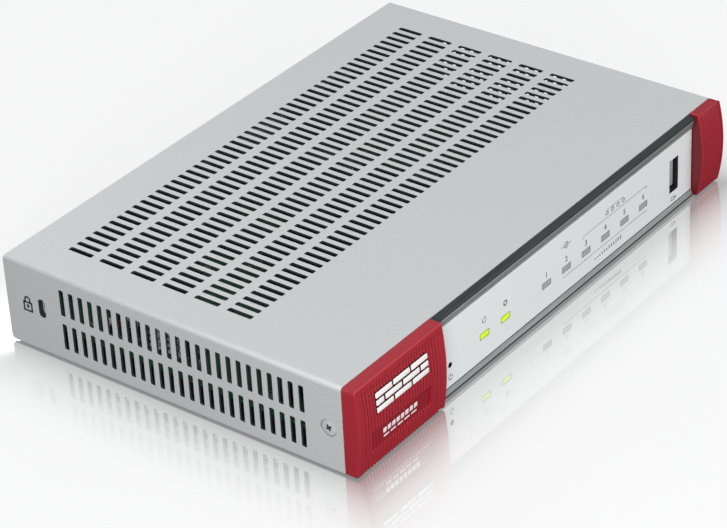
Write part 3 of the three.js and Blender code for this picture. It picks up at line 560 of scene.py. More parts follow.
TOP_SLOTS = {"columns": 47, "rows": 6, "pitch": (4, 13.5), "half": (1, 5), "first": 52}
SIDE_SLOTS = {"count": 25, "pitch": 4.14, "half": (5, 1), "first": 15.75, "rows": (9.8, 23.0)}
SLOT_CORNER = 0.45
LOCK_Y, LOCK_Z = cover_high.y - 15.6, 17.6
LOCK_HALF, LOCK_CORNER = (3.5, 1.5), 1.3
SCREW_Y, SCREW_Z = STEEL_FRONT + 5.7, 15.9
SINK_RADIUS = 3.05
SINK_RIM = [(0.1, 0.0), (0.0, 0.1), (-0.75, STEEL)]


def cover_point(along, y, depth):
    """A point of the folded sheet, from its place on the flat sheet and its depth under the outer face."""
    mirrored = along > SHEET_SPAN / 2
    if mirrored:
        along = SHEET_SPAN - along
    if along <= LEG:
        x, z = -HALF_WIDTH + depth, cover_low.z + along
    elif along <= LEG + ARC:
        angle = (along - LEG) / BEND
        reach = BEND - depth
        x = -HALF_WIDTH + BEND - reach * math.cos(angle)
        z = cover_high.z - BEND + reach * math.sin(angle)
    else:
        x, z = -HALF_WIDTH + BEND + along - LEG - ARC, cover_high.z - depth
    return (-x if mirrored else x, y, z)


def sheet_outline(inset, stations):
    """The flat sheet's outline, with the bend stations as points on its front and rear edges."""
    front, rear = STEEL_FRONT + inset, cover_high.y - inset
    corners = []
    places = (
        (0, front, FRONT_CORNER), (SHEET_SPAN, front, FRONT_CORNER),
        (SHEET_SPAN, rear, REAR_CORNER), (0, rear, REAR_CORNER),
    )
    for quarter, (along, y, radius) in enumerate(places):
        radius = max(radius - inset, 0.05)
        centre_u = along + (inset + radius) * (1 if along == 0 else -1)
        centre_v = y + radius * (1 if y == front else -1)
        angles = [math.pi + (quarter + step / 4) * QUARTER for step in range(5)]
        corners.append([(centre_u + radius * math.cos(a), centre_v + radius * math.sin(a)) for a in angles])
    front_points = [(s, front) for s in stations]
    rear_points = [(s, rear) for s in reversed(stations)]
    return corners[0] + front_points + corners[1] + corners[2] + rear_points + corners[3]


def cover_holes():
    """Each hole as (flat region, function of grow, rings of (grow, depth))."""
    holes = []

    def slot(region, centre, half, corner=SLOT_CORNER, steps=3):
        holes.append((region, lambda grow: rounded_loop(centre, half, corner, grow, steps), SOFT_RIM))

    for row in range(TOP_SLOTS["rows"]):
        y = STEEL_FRONT + TOP_SLOTS["first"] + row * TOP_SLOTS["pitch"][1]
        for column in range(TOP_SLOTS["columns"]):
            along = SHEET_SPAN / 2 + (column - (TOP_SLOTS["columns"] - 1) / 2) * TOP_SLOTS["pitch"][0]
            slot("top", (along, y), TOP_SLOTS["half"])
    unfold = {"left": lambda z: z - cover_low.z, "right": lambda z: SHEET_SPAN - (z - cover_low.z)}
    for side in unfold:
        for z in SIDE_SLOTS["rows"]:
            for count in range(SIDE_SLOTS["count"]):
                y = STEEL_FRONT + SIDE_SLOTS["first"] + count * SIDE_SLOTS["pitch"]
                slot(side, (unfold[side](z), y), SIDE_SLOTS["half"])
        screw = (unfold[side](SCREW_Z), SCREW_Y)
        holes.append((side, lambda grow, c=screw: round_loop(c, SINK_RADIUS + grow), SINK_RIM))
    slot("left", (unfold["left"](LOCK_Z), LOCK_Y), LOCK_HALF, LOCK_CORNER, 5)
    return holes


def make_cover():
    """The whole sheet. Its inner side and the walls of its slots are painted dark as shade, the walls of its screw
    countersinks a painted grey shade; its flat faces stay flat-shaded.
    """
    bm = bmesh.new()
    flat = set()
    verts = {}

    def vert(along, y, depth):
        key = (round(along, 4), round(y, 4), round(depth, 4))
        if key not in verts:
            verts[key] = point(bm, cover_point(along, y, depth))
        return verts[key]

    left_bend = [LEG + ARC * k / BEND_STEPS for k in range(BEND_STEPS + 1)]
    stations = left_bend + [SHEET_SPAN - s for s in reversed(left_bend)]
    skin(bm, [[vert(u, v, depth) for u, v in sheet_outline(inset, stations)] for inset, depth in SOFT_RIM])
    hole_loops = {"left": [], "top": [], "right": []}
    for region, loop, rings in cover_holes():
        made = [[vert(u, v, depth) for u, v in loop(grow)] for grow, depth in rings]
        # the slots' walls get painted dark shade, the countersink walls a painted grey shade
        for face in skin(bm, made)[-1]:
            face.material_index = 1 if rings is SOFT_RIM else 2
        hole_loops[region].append((made[0], made[-1]))
    for level, (inset, depth) in enumerate((SOFT_RIM[0], SOFT_RIM[-1])):
        front, rear = STEEL_FRONT + inset, cover_high.y - inset
        outline = sheet_outline(inset, stations)
        near, far = LEG + ARC, SHEET_SPAN - LEG - ARC
        regions = {
            "left": [place for place in outline if place[0] <= LEG + 1e-6],
            "top": [(near, front), (far, front), (far, rear), (near, rear)],
            "right": [place for place in outline if place[0] >= SHEET_SPAN - LEG - 1e-6],
        }
        for region, places in regions.items():
            outer = [vert(u, v, depth) for u, v in places]
            filled = fill(bm, [outer] + [pair[level] for pair in hole_loops[region]])
            flat.update(filled)
            # the inner face (level 1) gets painted dark shade
            for face in filled:
                face.material_index = level
        for before, after in zip(stations, stations[1:]):
            if after - before < ARC:
                strip = ((before, front), (after, front), (after, rear), (before, rear))
                bm.faces.new([vert(u, v, depth) for u, v in strip]).material_index = level
    looks = ["case_paint", "inner_steel", "screw_rim_paint"]
    finish_piece("cover_sheet", bm, looks, node="top_cover", smooth=35, flat=flat)


def make_cover_lugs():
    """Tabs that hang from the cover behind the rear panel, for its screws."""
    for side, name in ((-1, "left"), (1, "right")):
        lug = bmesh.new()
        x = side * 97
        y = REAR_FACE - STEEL - 0.3
        block(lug, (x - 6, y - STEEL, 22), (x + 6, y, cover_high.z - 0.6), 0.1)
        finish_piece("cover_lug_" + name, lug, "case_paint", smooth=30)


def inside_tray(centre, normal):
    """True for the tray's faces that look into the case, and for the walls of its floor vents. These are painted
    dark as shade.
    """
    underside = normal.z < -0.5 and centre.z < 2.1
    return centre.y < REAR_FACE - STEEL and centre.z > tray_low.z + 0.2 and not underside


# ---- the ribbed caps

CAP_LOW, CAP_HIGH = left_cap_low.z, left_cap_high.z
CAP_HALF = (CAP_HIGH - CAP_LOW) / 2
CAP_MIDDLE = (CAP_HIGH + CAP_LOW) / 2
CAP_CORNER = 0.7
SIDE_EDGE = 0.35
RIB_PITCH = 1.5
RIB_DEPTH = 0.7
RIB_STEPS = 10
END_STATIONS = [0.0, 0.02, 0.06, 0.12, 0.2, 0.28, 0.36, 0.5, 0.7, 0.95, 1.2, 1.5]
INNER_END_STATIONS = END_STATIONS[:8]


class Bow:
    """The arc of a cap's front, about an axis along X, from its corner depth and its foremost y."""

    def __init__(self, corner_depth, foremost):
        rise = STEEL_FRONT - corner_depth - foremost
        self.radius = (CAP_HALF ** 2 + rise ** 2) / (2 * rise)
        self.centre = foremost + self.radius


LEFT_BOW = Bow(5.0, left_cap_low.y)
RIGHT_BOW = Bow(4.0, right_cap_low.y)


def cap_profile(bow, ribbed_top):
    """The cap's section, from the top rear round to the bottom rear.

    Each point is (y, z, outward y, outward z, rib share, radius of the rounded end there).
    """
    back = left_cap_high.y
    tilt = math.asin((CAP_HALF - CAP_CORNER) / (bow.radius - CAP_CORNER))
    corner_y = bow.centre - (bow.radius - CAP_CORNER) * math.cos(tilt)
    top_share = 1.0 if ribbed_top else 0.0
    points = []

    def add(y, z, reach, angle, share, end):
        out = (-math.cos(angle), math.sin(angle))
        points.append((y + reach * out[0], z + reach * out[1], *out, share, end))

    for along in (0, 0.5, 1):
        points.append((back + (corner_y - back) * along, CAP_HIGH, 0.0, 1.0, top_share, BEND))
    for step in range(1, 7):
        end = BEND + (SIDE_EDGE - BEND) * step / 6
        add(corner_y, CAP_HIGH - CAP_CORNER, CAP_CORNER, QUARTER - (QUARTER - tilt) * step / 6, top_share, end)
    steps = 40
    for step in range(1, steps):
        angle = tilt - 2 * tilt * step / steps
        below = CAP_HIGH - CAP_MIDDLE - bow.radius * math.sin(angle)
        share = min(1.0, max(top_share, (below - 2.0) / 0.9))
        add(bow.centre, CAP_MIDDLE, bow.radius, angle, share, SIDE_EDGE)
    for step in range(7):
        add(corner_y, CAP_LOW + CAP_CORNER, CAP_CORNER, -tilt - (QUARTER - tilt) * step / 6, 1.0, SIDE_EDGE)
    for along in (0.5, 1):
        points.append((corner_y + (back - corner_y) * along, CAP_LOW, 0.0, -1.0, 1.0 - along, SIDE_EDGE))
    return points


def rounding(distance, radius):
    """How far a rounded end falls back at a distance from it."""
    return radius - math.sqrt(max(0.0, radius ** 2 - (radius - distance) ** 2)) if distance < radius else 0.0


def rib_fall(x, start):
    """How deep the surface lies between ribs: round crests and narrow valleys."""
    phase = ((x - start) / RIB_PITCH) % 1.0
    return RIB_DEPTH * (1 - abs(math.sin(math.pi * phase)) ** 0.8)


def make_cap(name, node, bow, outer, inner, smooth_ends, badge=None, ribbed_top=False):
    """A ribbed cap from its outer end to its inner end.

    smooth_ends are the widths without ribs at the outer and inner end, and badge is the (x low, x high, z low,
    z high, depth) of a flat recess.
    """
    inward = 1 if inner > outer else -1
    width = abs(inner - outer)
    profile = cap_profile(bow, ribbed_top)
    first, last = smooth_ends[0], width - smooth_ends[1]
    count = int((last - first) / RIB_PITCH)
    first += (last - first - count * RIB_PITCH) / 2
    end = first + count * RIB_PITCH
    stations = END_STATIONS + [first + RIB_PITCH * k / RIB_STEPS for k in range(count * RIB_STEPS + 1)]
    stations += [width - e for e in reversed(INNER_END_STATIONS)]
    if badge:
        stations += [abs(x - outer) + shift for x in badge[:2] for shift in (-0.15, 0.15)]
    stations = sorted(set(round(s, 4) for s in stations))
    # the first station of the ribs, from the left, stays on the smooth part
    ribs = sorted((outer + inward * first, outer + inward * end))
    bm = bmesh.new()
    rows = []
    for station in stations:
        x = outer + inward * station
        row = []
        for y, z, out_y, out_z, share, radius in profile:
            fall = rounding(station, radius)
            if out_z < 0.5:
                fall += rounding(width - station, 0.3)
            if ribs[0] + 0.001 < x < ribs[1] + 0.001:
                fall += share * rib_fall(station, first)
            if badge:
                inside = min(x - badge[0], badge[1] - x, z - badge[2], badge[3] - z)
                press = min(1.0, max(0.0, inside / 0.3 + 0.5))
                fall = fall * (1 - press) + badge[4] * press
            row.append(point(bm, (x, y - out_y * fall, z - out_z * fall)))
        rows.append(row)
    for face in (face for band in skin(bm, rows) for face in band):
        place = face.calc_center_median() / MM
        station = abs(place.x - outer)
        # the deepest rib valleys get a darker red: painted shade in the creases
        if first < station < end and rib_fall(station, first) > 0.55 * RIB_DEPTH:
            shallow = place.z > CAP_HIGH - 2.4 and not ribbed_top
            face.material_index = 0 if shallow else 3
        # the recess floor gets a glossier red, made darker as painted recess shade
        if badge and badge[0] < place.x < badge[1] and badge[2] < place.z < badge[3] and place.y < STEEL_FRONT - 1:
            face.material_index = 1
    bm.faces.new(rows[0])
    # the inner end gets a darker red: painted shade
    bm.faces.new(rows[-1]).material_index = 2
    looks = ["cap_plastic", "badge_plastic_shaded", "cap_inner_wall_shade", "cap_valley_shade"]
    finish_piece(name, bm, looks, node=node, smooth=50)


def raised_tile(bm, x0, x1, z0, z1, base, relief, corner=0.35):
    """One tile on the left cap's bow, from a base lift to a relief. Its walls take the second look."""
    centre = ((x0 + x1) / 2, (z0 + z1) / 2)
    half = ((x1 - x0) / 2, (z1 - z0) / 2)
    soft = min(0.18, (relief - base) / 2)

    def on_bow(x, z, lift):
        return (x, LEFT_BOW.centre - math.sqrt((LEFT_BOW.radius + lift) ** 2 - (z - CAP_MIDDLE) ** 2), z)

    levels = [(0.0, base), (0.0, relief - soft), (-0.3 * soft, relief - 0.3 * soft), (-soft, relief)]
    rings = [
        [point(bm, on_bow(x, z, lift)) for x, z in rounded_loop(centre, half, corner, grow)]
        for grow, lift in levels
    ]
    for face in skin(bm, rings, closed=True)[0]:
        face.material_index = 1


def make_emblem():
    """Raised bricks in running bond, following the cap's bow."""
    low, high = box("brick_emblem")
    courses = 3
    joint = 0.75
    course = (high.z - low.z + joint) / courses
    brick = (high.x - low.x + joint) / 3
    relief = math.hypot(LEFT_BOW.centre - low.y, low.z - CAP_MIDDLE) - LEFT_BOW.radius - 0.01
    bm = bmesh.new()
    for row in range(courses):
        start = low.x - (brick / 2 if row % 2 else 0)
        z0 = low.z + row * course
        for column in range(4):
            x0 = max(start + column * brick, low.x)
            x1 = min(start + (column + 1) * brick - joint, high.x)
            if x1 - x0 > joint:
                raised_tile(bm, x0, x1, z0, z0 + course - joint, -0.5, relief)
    # the bricks' walls get a dark red: painted shade
    finish_piece("emblem_bricks", bm, ["emblem_plastic", "emblem_wall"], node="brick_emblem", smooth=35)


BADGE = (-101.65, -70.35, 7.4, 14.2, 0.75)


def make_badge_print():
    """Two rows of plain dashes in the recess, where such a cap carries its label."""
    bm = bmesh.new()
    middle_x = (BADGE[0] + BADGE[1]) / 2
    for count, pitch, length, z0, z1 in ((8, 2.3, 1.7, 10.6, 12.4), (5, 3.6, 2.8, 8.9, 9.6)):
        for k in range(count):
            x = middle_x + (k - (count - 1) / 2) * pitch
            raised_tile(bm, x - length / 2, x + length / 2, z0, z1, -BADGE[4] - 0.05, -BADGE[4] + 0.04, 0.2)
    finish_piece("badge_print", bm, ["white_ink", "white_ink"], smooth=35)


# ---- printed marks

INK = 0.015
INK_START = 0.004
STROKE = 0.3
HAIR = 0.2
# how a (u, v) drawing and its lift lie on a face
FACINGS = {
    "front": lambda u, v, lift: (u, PANEL_FACE - lift, v),
    "rear": lambda u, v, lift: (-u, REAR_FACE + lift, v),
    "left": lambda u, v, lift: (cover_low.x - lift, -u, v),
}


def bar(u0, v0, u1, v1, width=STROKE):
    """A straight stroke as a polygon."""
    across = Vector((v0 - v1, u1 - u0)).normalized() * (width / 2)
    corners = ((u0, v0, 1), (u0, v0, -1), (u1, v1, -1), (u1, v1, 1))
    return [(u + side * across.x, v + side * across.y) for u, v, side in corners]


def arc_stroke(u, v, radius, width=STROKE, start=0, end=360, steps=20):
    """A curved stroke between two angles, in degrees, as a polygon."""
    turns = [math.radians(start + (end - start) * k / steps) for k in range(steps + 1)]
    return [
        (u + reach * math.cos(a), v + reach * math.sin(a))
        for reach, angles in ((radius + width / 2, turns), (radius - width / 2, turns[::-1])) for a in angles
    ]


def outline(u0, v0, u1, v1, width=STROKE):
    """Four strokes round a rectangle."""
    corners = [(u0, v0), (u1, v0), (u1, v1), (u0, v1)]
    return [bar(*a, *b, width) for a, b in zip(corners, corners[1:] + corners[:1])]


def raise_polygons(bm, polygons, lay, start, end):
    for polygon in polygons:
        skin(bm, [[point(bm, lay(u, v, lift)) for u, v in polygon] for lift in (start, end)], closed=True)


def print_marks(name, polygons, look="panel_ink", where="front"):
    """Thin raised ink in the shape of the polygons."""
    bm = bmesh.new()
    raise_polygons(bm, polygons, FACINGS[where], INK_START, INK_START + INK)
    finish_piece(name, bm, look)


def numeral(name, text, u, v, height, look="panel_ink", where="front"):
    """A printed numeral, centred on (u, v)."""
    curve = bpy.data.curves.new(name, "FONT")
    curve.body = text
    curve.size = height * MM / 0.7
    curve.align_x = curve.align_y = "CENTER"
    curve.extrude = INK * MM / 2
    curve.offset = 0.05 * MM
    maker = add_object(name + "_maker", curve)
    bpy.context.view_layer.update()
    mesh = bpy.data.meshes.new_from_object(maker.evaluated_get(bpy.context.evaluated_depsgraph_get()))
    bpy.data.objects.remove(maker)
    bm = bmesh.new()
    bm.from_mesh(mesh)
    bmesh.ops.remove_doubles(bm, verts=bm.verts, dist=1e-7)
    for vert in bm.verts:
        x, y, z = vert.co / MM
        vert.co = Vector(FACINGS[where](u + x, v + y, INK_START + INK / 2 + z)) * MM
    finish_piece(name, bm, look)


LAMP_PITCH = 12
FIRST_PORT_X = 1.4
LAMP_Z = 12.3
LAMP_HALF = (2.5, 1.1)
PORTS = 6


def lamp_x(index):
    return FIRST_PORT_X + index * LAMP_PITCH


def lamp_frames(name, indexes, look):
    """A thin dark edge round each lamp window: painted shade at the window's rim."""
    half_u, half_v = LAMP_HALF
    strokes = []
    for x in map(lamp_x, indexes):
        strokes += outline(x - half_u, LAMP_Z - half_v, x + half_u, LAMP_Z + half_v, 0.26)
    print_marks(name, strokes, look)


def gear(u, v, radius):
    marks = [arc_stroke(u, v, radius, 0.36)]
    for tooth in range(8):
        c, s = radius * math.cos(tooth * math.pi / 4), radius * math.sin(tooth * math.pi / 4)
        marks.append(bar(u + 0.9 * c, v + 0.9 * s, u + 1.5 * c, v + 1.5 * s, 0.42))
    return marks


def globe(u, v, radius):
    """A ring with its two middle lines and a line out to each side."""
    ends = [bar(u + s * radius * 1.5, v, u + s * radius * 2.6, v) for s in (-1, 1)]
    cross = [bar(u - radius, v, u + radius, v, HAIR), bar(u, v - radius, u, v + radius, HAIR)]
    return ends + [arc_stroke(u, v, radius, steps=28)] + cross


def linked_boxes(u, v, count, pitch):
    """Boxes in a row, hung from one line."""
    first = u - (count - 1) / 2 * pitch
    marks = [bar(first, v + 0.85, first + (count - 1) * pitch, v + 0.85, HAIR)]
    for k in range(count):
        x = first + k * pitch
        marks += outline(x - 0.75, v - 0.95, x + 0.75, v + 0.05) + [bar(x, v, x, v + 0.85, HAIR)]
    return marks


def power_sign(u, v, radius, width, foot):
    return [arc_stroke(u, v, radius, width, 125, 415), bar(u, v + foot, u, v + 1.5, width)]


def front_marks():
    for port in range(PORTS):
        numeral(f"print_port_{port + 1}", str(port + 1), lamp_x(port), LAMP_Z + 3.5, 2.1)
    status_z = LAMP_Z + 5.7
    print_marks("print_power", power_sign(lamp_x(-3), status_z, 1.05, STROKE, 0.2))
    print_marks("print_system", gear(lamp_x(-2), status_z, 0.8))
    left, right = lamp_x(2) - 1.8, lamp_x(5) + 2.2
    group_z, rule_z, sign_z = 19.2, 9.35, 21.4
    print_marks("print_port_group", [
        bar(left, group_z, right, group_z, HAIR),
        bar(left, group_z, left, group_z - 1.3, HAIR),
        bar(right, group_z, right, group_z - 1.3, HAIR),
        bar(lamp_x(1) - 2.2, rule_z, right, rule_z, HAIR),
    ])
    # a globe over the outside port, linked boxes over the inside ports, and speed bars under the line
    print_marks("print_outside", globe(lamp_x(1), sign_z, 1.1))
    print_marks("print_inside", linked_boxes((left + right) / 2, sign_z, 4, 3.4))
    ticks = [(lamp_x(2) + 5.6 + k * 1.45, 6.9 + 0.28 * (k // 3)) for k in range(12)]
    print_marks("print_speed", [bar(u, 6.3, u, top, 0.6) for u, top in ticks])
    x, z = middle("reset_button").x, 6.7
    arrow = [(x + 0.25, z + 1.45), (x + 0.25, z + 0.4), (x - 0.6, z + 0.92)]
    print_marks("print_reset", [arc_stroke(x, z, 0.95, STROKE, 110, 400), arrow])
    x, z = middle("usb_shell").x, 5.3
    plug = outline(x - 1.7, z - 0.6, x + 0.4, z + 0.6)
    print_marks("print_usb", plug + [bar(x + 0.5, z + side, x + 1.7, z + side) for side in (0.32, -0.32)])


def lock_mark():
    """A plain padlock with a keyhole, printed beside the lock slot."""
    u, v = -(LOCK_Y + 6.3), LOCK_Z - 1.0
    half, low, high = 1.7, v - 1.85, v + 1.35
    stroke, shackle = 0.72, 1.05
    marks = [bar(u - half - stroke / 2, z, u + half + stroke / 2, z, stroke) for z in (low, high)]
    for side in (-1, 1):
        marks.append(bar(u + side * half, low, u + side * half, high, stroke))
        marks.append(bar(u + side * shackle, high, u + side * shackle, high + shackle, stroke))
    marks += [
        arc_stroke(u, high + shackle, shackle, stroke, 0, 180),
        arc_stroke(u, v + 0.05, 0.3, 0.6),
        bar(u, v, u, v - 1.0, 0.5),
    ]
    print_marks("print_padlock", marks, "case_ink", "left")


# ---- screws and feet

RECESS_TURN = math.radians(32)
RECESS_DEPTH = 1.0


def screw_piece(node, profile, place, face, reach, look="hardware_steel"):
    """A turned screw with a cross recess pressed into its head."""
    bm = bmesh.new()
    turned(bm, profile, place, 48)
    piece = finish_piece(node + "_turned", bm, [look, "inner_steel"], node=node, smooth=35)
    cutter = bmesh.new()
    for angle in (RECESS_TURN, RECESS_TURN + QUARTER):
        c, s = math.cos(angle), math.sin(angle)
        loops = []
        for height, half, width in ((face + 0.2, reach, 0.4), (face - RECESS_DEPTH, reach * 0.45, 0.3)):
            corners = ((half, width), (-half, width), (-half, -width), (half, -width))
            loops.append([point(cutter, place(u * c - v * s, u * s + v * c, height)) for u, v in corners])
        skin(cutter, loops, closed=True)
    bmesh.ops.recalc_face_normals(cutter, faces=cutter.faces)
    # the cross recess walls get painted dark shade
    for side in cutter.faces:
        side.material_index = 1
    tool = mesh_object(node + "_cutter", cutter, [look, "inner_steel"])
    modifier = piece.modifiers.new("recess", "BOOLEAN")
    modifier.operation = "DIFFERENCE"
    modifier.solver = "EXACT"
    modifier.use_self = True
    modifier.object = tool
    bpy.context.view_layer.update()
    cut = bpy.data.meshes.new_from_object(piece.evaluated_get(bpy.context.evaluated_depsgraph_get()))
    piece.modifiers.clear()
    piece.data = cut
    bpy.data.objects.remove(tool)
    cut.set_sharp_from_angle(angle=math.radians(35))


def pan_profile(face, length):
    """A pan head with a soft crown over a plain shank, from the far end of the shank to the crown."""
    seat = face - 1.7
    end = face - length
    return [
        (0, end), (1.2, end), (1.38, end + 0.2), (1.38, seat), (2.7, seat), (2.8, seat + 0.12),
        (2.8, seat + 0.75), (2.6, seat + 1.2), (2.1, seat + 1.52), (1.3, face - 0.05), (0, face),
    ]


def make_fasteners():
    for side, name in ((-1, "left"), (1, "right")):
        node = "side_screw_" + name
        low, high = box(node)
        face = max(abs(low.x), abs(high.x))
        radius = (high.z - low.z) / 2
        profile = [
            (0, face - 7), (1.3, face - 7), (1.3, face - 1.5), (radius - 0.1, face - 0.15),
            (radius, face - 0.06), (radius - 0.1, face), (0, face),
        ]
        screw_piece(
            node, profile, lambda u, v, h, s=side: (s * h, SCREW_Y + u * s, SCREW_Z + v), face, 1.3, "case_paint",
        )
        node = "rear_screw_" + name
        low, high = box(node)
        centre = middle(node)
        screw_piece(node, pan_profile(high.y, high.y - low.y), rearward(centre.x, centre.z), high.y, 1.6)
        for end in ("front", "rear"):
            node = f"board_screw_{name}_{end}"
            low, high = box(node)
            centre = middle(node)
            screw_piece(node, pan_profile(high.z, high.z - low.z), upright(centre.x, centre.y), high.z, 1.6)
            node = f"foot_{name}_{end}"
            low, high = box(node)
            centre = middle(node)
            radius = (high.x - low.x) / 2
            bm = bmesh.new()
            turned(bm, [
                (0, 0.12), (1.2, 0.1), (1.5, 0.0), (radius - 0.5, 0.0), (radius - 0.15, 0.12),
                (radius, 0.45), (radius, high.z - 0.1), (radius - 0.1, high.z), (0, high.z),
            ], upright(centre.x, centre.y), 48)
            finish_piece(node + "_turned", bm, "foot_rubber", node=node, smooth=35)


# ---- sockets and switches

JACK_PITCH = 16
PIN_PITCH = 1.02


def socket_wall_shade(centre, normal):
    """True for the walls of the panel's USB opening and of its reset hole. These are painted dark as shade."""
    usb, reset = middle("usb_shell"), middle("reset_button")
    in_usb = abs(centre.x - usb.x) < 3.4 and abs(centre.z - usb.z) < 7.2
    in_reset = math.hypot(centre.x - reset.x, centre.z - reset.z) < 1.6
    return (in_usb or in_reset) and abs(normal.y) < 0.5


def deep_insert_shade(centre, normal):
    """True for the part of the USB insert that faces the plug from deep inside. It is painted dark as shade."""
    return normal.y < -0.5 and centre.y > box("usb_shell")[0].y + 5


def usb_tongue():
    """The pale rounded tip of the socket's tongue, upright along its right wall."""
    centre = middle("usb_shell")
    right = centre.x + 2.2
    front = box("usb_shell")[0].y + 0.3
    bm = bmesh.new()
    block(bm, (right - 1.9, front, centre.z - 5.5), (right, front + 1.3, centre.z + 5.5), 0.3)
    finish_piece("usb_tongue_tip", bm, "tongue_grey", smooth=35)


def jack_xs(node, ports):
    return [middle(node).x + (k - (ports - 1) / 2) * JACK_PITCH for k in range(ports)]


def jack_details(node, ports):
    """The plated front of a jack block and the spring contacts in each mouth."""
    low, high = box(node)
    centre = middle(node)
    mouth_z = low.z + 7.6
    face = high.y
    edge, thickness = 0.06, 0.25
    shapes = [(-1, (centre.x, centre.z), ((high.x - low.x) / 2, (high.z - low.z) / 2), 0.3)]
    shapes += [(1, (x, mouth_z), (6.05, 3.6), 0.25) for x in jack_xs(node, ports)]
    bm = bmesh.new()
    rings = []
    for sign, place, half, corner in shapes:
        levels = ((sign * edge, 0.0), (0.0, edge), (0.0, thickness - edge), (sign * edge, thickness))
        rings.append([
            [point(bm, (u, face + 0.27 - depth, v)) for u, v in rounded_loop(place, half, corner, grow)]
            for grow, depth in levels
        ])
        skin(bm, rings[-1])
    for level in (0, -1):
        fill(bm, [ring[level] for ring in rings])
    finish_piece(node + "_face", bm, "socket_steel", smooth=30)
    wires = bmesh.new()
    path = ((2.2, 3.3), (3.2, 2.9), (9.5, 0.6), (10.3, 0.75))
    for x in jack_xs(node, ports):
        for pin in range(8):
            across = x + (pin - 3.5) * PIN_PITCH
            skin(wires, [
                [
                    point(wires, (across + a * 0.2, face - back, mouth_z + up + b * 0.12))
                    for a, b in ((1, 1), (-1, 1), (-1, -1), (1, -1))
                ] for back, up in path
            ], closed=True)
    finish_piece(node + "_contacts", wires, "contact_brass")


def transceiver_cage():
    refined("sfp_cage", "socket_steel", 0.1)
    low, high = box("sfp_cage")
    x, face = middle("sfp_cage").x, high.y
    bm = bmesh.new()
    top, bottom = (high.z, high.z + 0.22), (low.z - 0.22, low.z)
    for offset, (z0, z1) in [(o, top) for o in (-4.5, -1.5, 1.5, 4.5)] + [(o, bottom) for o in (-4.5, 4.5)]:
        block(bm, (x + offset - 1, face - 0.3, z0), (x + offset + 1, face + 0.15, z1), 0.06)
    finish_piece("cage_fingers", bm, "socket_steel", smooth=30)
    inner = bmesh.new()
    block(inner, (x - 5, low.y + 0.9, low.z + 1.4), (x + 5, low.y + 6.9, low.z + 6.2), 0.2)
    finish_piece("cage_connector", inner, "component_plastic", smooth=30)


def dc_socket():
    low, high = box("dc_jack")
    pin_low, pin_high = box("dc_pin")
    centre = middle("dc_pin")
    collar_back = REAR_FACE - STEEL - 0.3
    back, front = high.y - 9.3, pin_high.y
    bm = bmesh.new()
    block(bm, low, (high.x, collar_back - 0.9, high.z), 0.3)
    turned(bm, [
        (3.8, collar_back - 0.95), (3.8, high.y - 0.2), (3.6, high.y), (3.35, high.y), (3.2, high.y - 0.15),
        (3.2, back), (0, back),
    ], rearward(centre.x, centre.z), 56)
    finish_piece("dc_jack_moulding", bm, "component_plastic", node="dc_jack", smooth=35)
    pin = bmesh.new()
    turned(pin, [
        (0, pin_low.y), (1.05, pin_low.y), (1.05, front - 0.7), (0.95, front - 0.3), (0.6, front), (0, front),
    ], rearward(centre.x, centre.z), 32)
    finish_piece("dc_pin_turned", pin, "contact_brass", node="dc_pin", smooth=35)


def rocker_marks():
    """A bar and a ring, the usual on and off signs, on the two halves of the rocker."""
    joint = next(j for j in frame["joints"] if j["name"] == "power_rock")
    pivot = Vector(joint["pos_m"]) / MM
    tilt = Matrix.Rotation(math.radians(-10), 4, "X")
    rise = 1.45 / 5.4
    bm = bmesh.new()
    for sign, polygon in ((1, bar(0, -1.1, 0, 1.1, 0.35)), (-1, arc_stroke(0, 0, 1.0, 0.35, steps=28))):
        def on_half(u, v, lift):
            along = 2.7 + v
            return pivot + tilt @ Vector((u, 1.6 + along * rise + lift, sign * along))

        raise_polygons(bm, [polygon], on_half, 0.01, 0.035)
    finish_piece("rocker_marks", bm, "white_ink", body="power_rocker")


def rear_marks():
    z = 24.2
    labels = [("1", middle("sfp_cage").x, 20.8)]
    for node, numbers in (("wan_jack", "2"), ("lan_jack_block", "6543")):
        labels += [(number, x, z) for number, x in zip(numbers, jack_xs(node, len(numbers)))]
    for number, x, height in labels:
        numeral("print_rear_" + number, number, -x, height, 2.2, "case_ink", "rear")
    sign = power_sign(-middle("dc_jack").x, z, 1.1, 0.28, 0.3)
    print_marks("print_rear_power", sign, "case_ink", "rear")


# ---- the board's parts

SMALL_PARTS = 260
PART_SIZES = ((1.6, 0.8, 0.5), (2.0, 1.25, 0.7), (3.2, 1.6, 0.8), (5.0, 4.0, 1.2))
# look and slot of each kind
PART_KINDS = {
    "dark": ("component_plastic", None), "tan": ("ceramic_tan", "component_plastic"),
    "silver": ("hardware_steel", None), "white": ("panel_plastic", None), "red": ("cap_plastic", None),
}
# parts that show through the side vents: kind, centre x, centre y, size x, size y, bottom, top
NEAR_VENTS = [
    ("white", -95, 41, 2.5, 3, 3.5, 5), ("white", -93, 35.5, 2.2, 2, 5, 6.2), ("red", -94.5, 37.5, 2.5, 2, 0, 5),
    ("white", -92, 32.5, 2.2, 2, 0, 7), ("dark", -92, 37, 8, 12, 0, 3.4), ("dark", -88, 20, 5, 9, 0, 6),
    ("dark", -90, -32, 8, 5, 0, 4), ("white", 96, -14, 5, 12, 0, 6), ("dark", 92, 4, 8, 10, 0, 7),
    ("tan", 88, -20, 5, 6, 0, 8), ("dark", -92, 15.8, 4, 15.2, 0, 10.4),
] + [
    ("white", -93, 9.5 + pin * 2.54, 4.4, 1.7, 1.0 + row * 2.4, 2.3 + row * 2.4)
    for row in range(4) for pin in range(6)
]


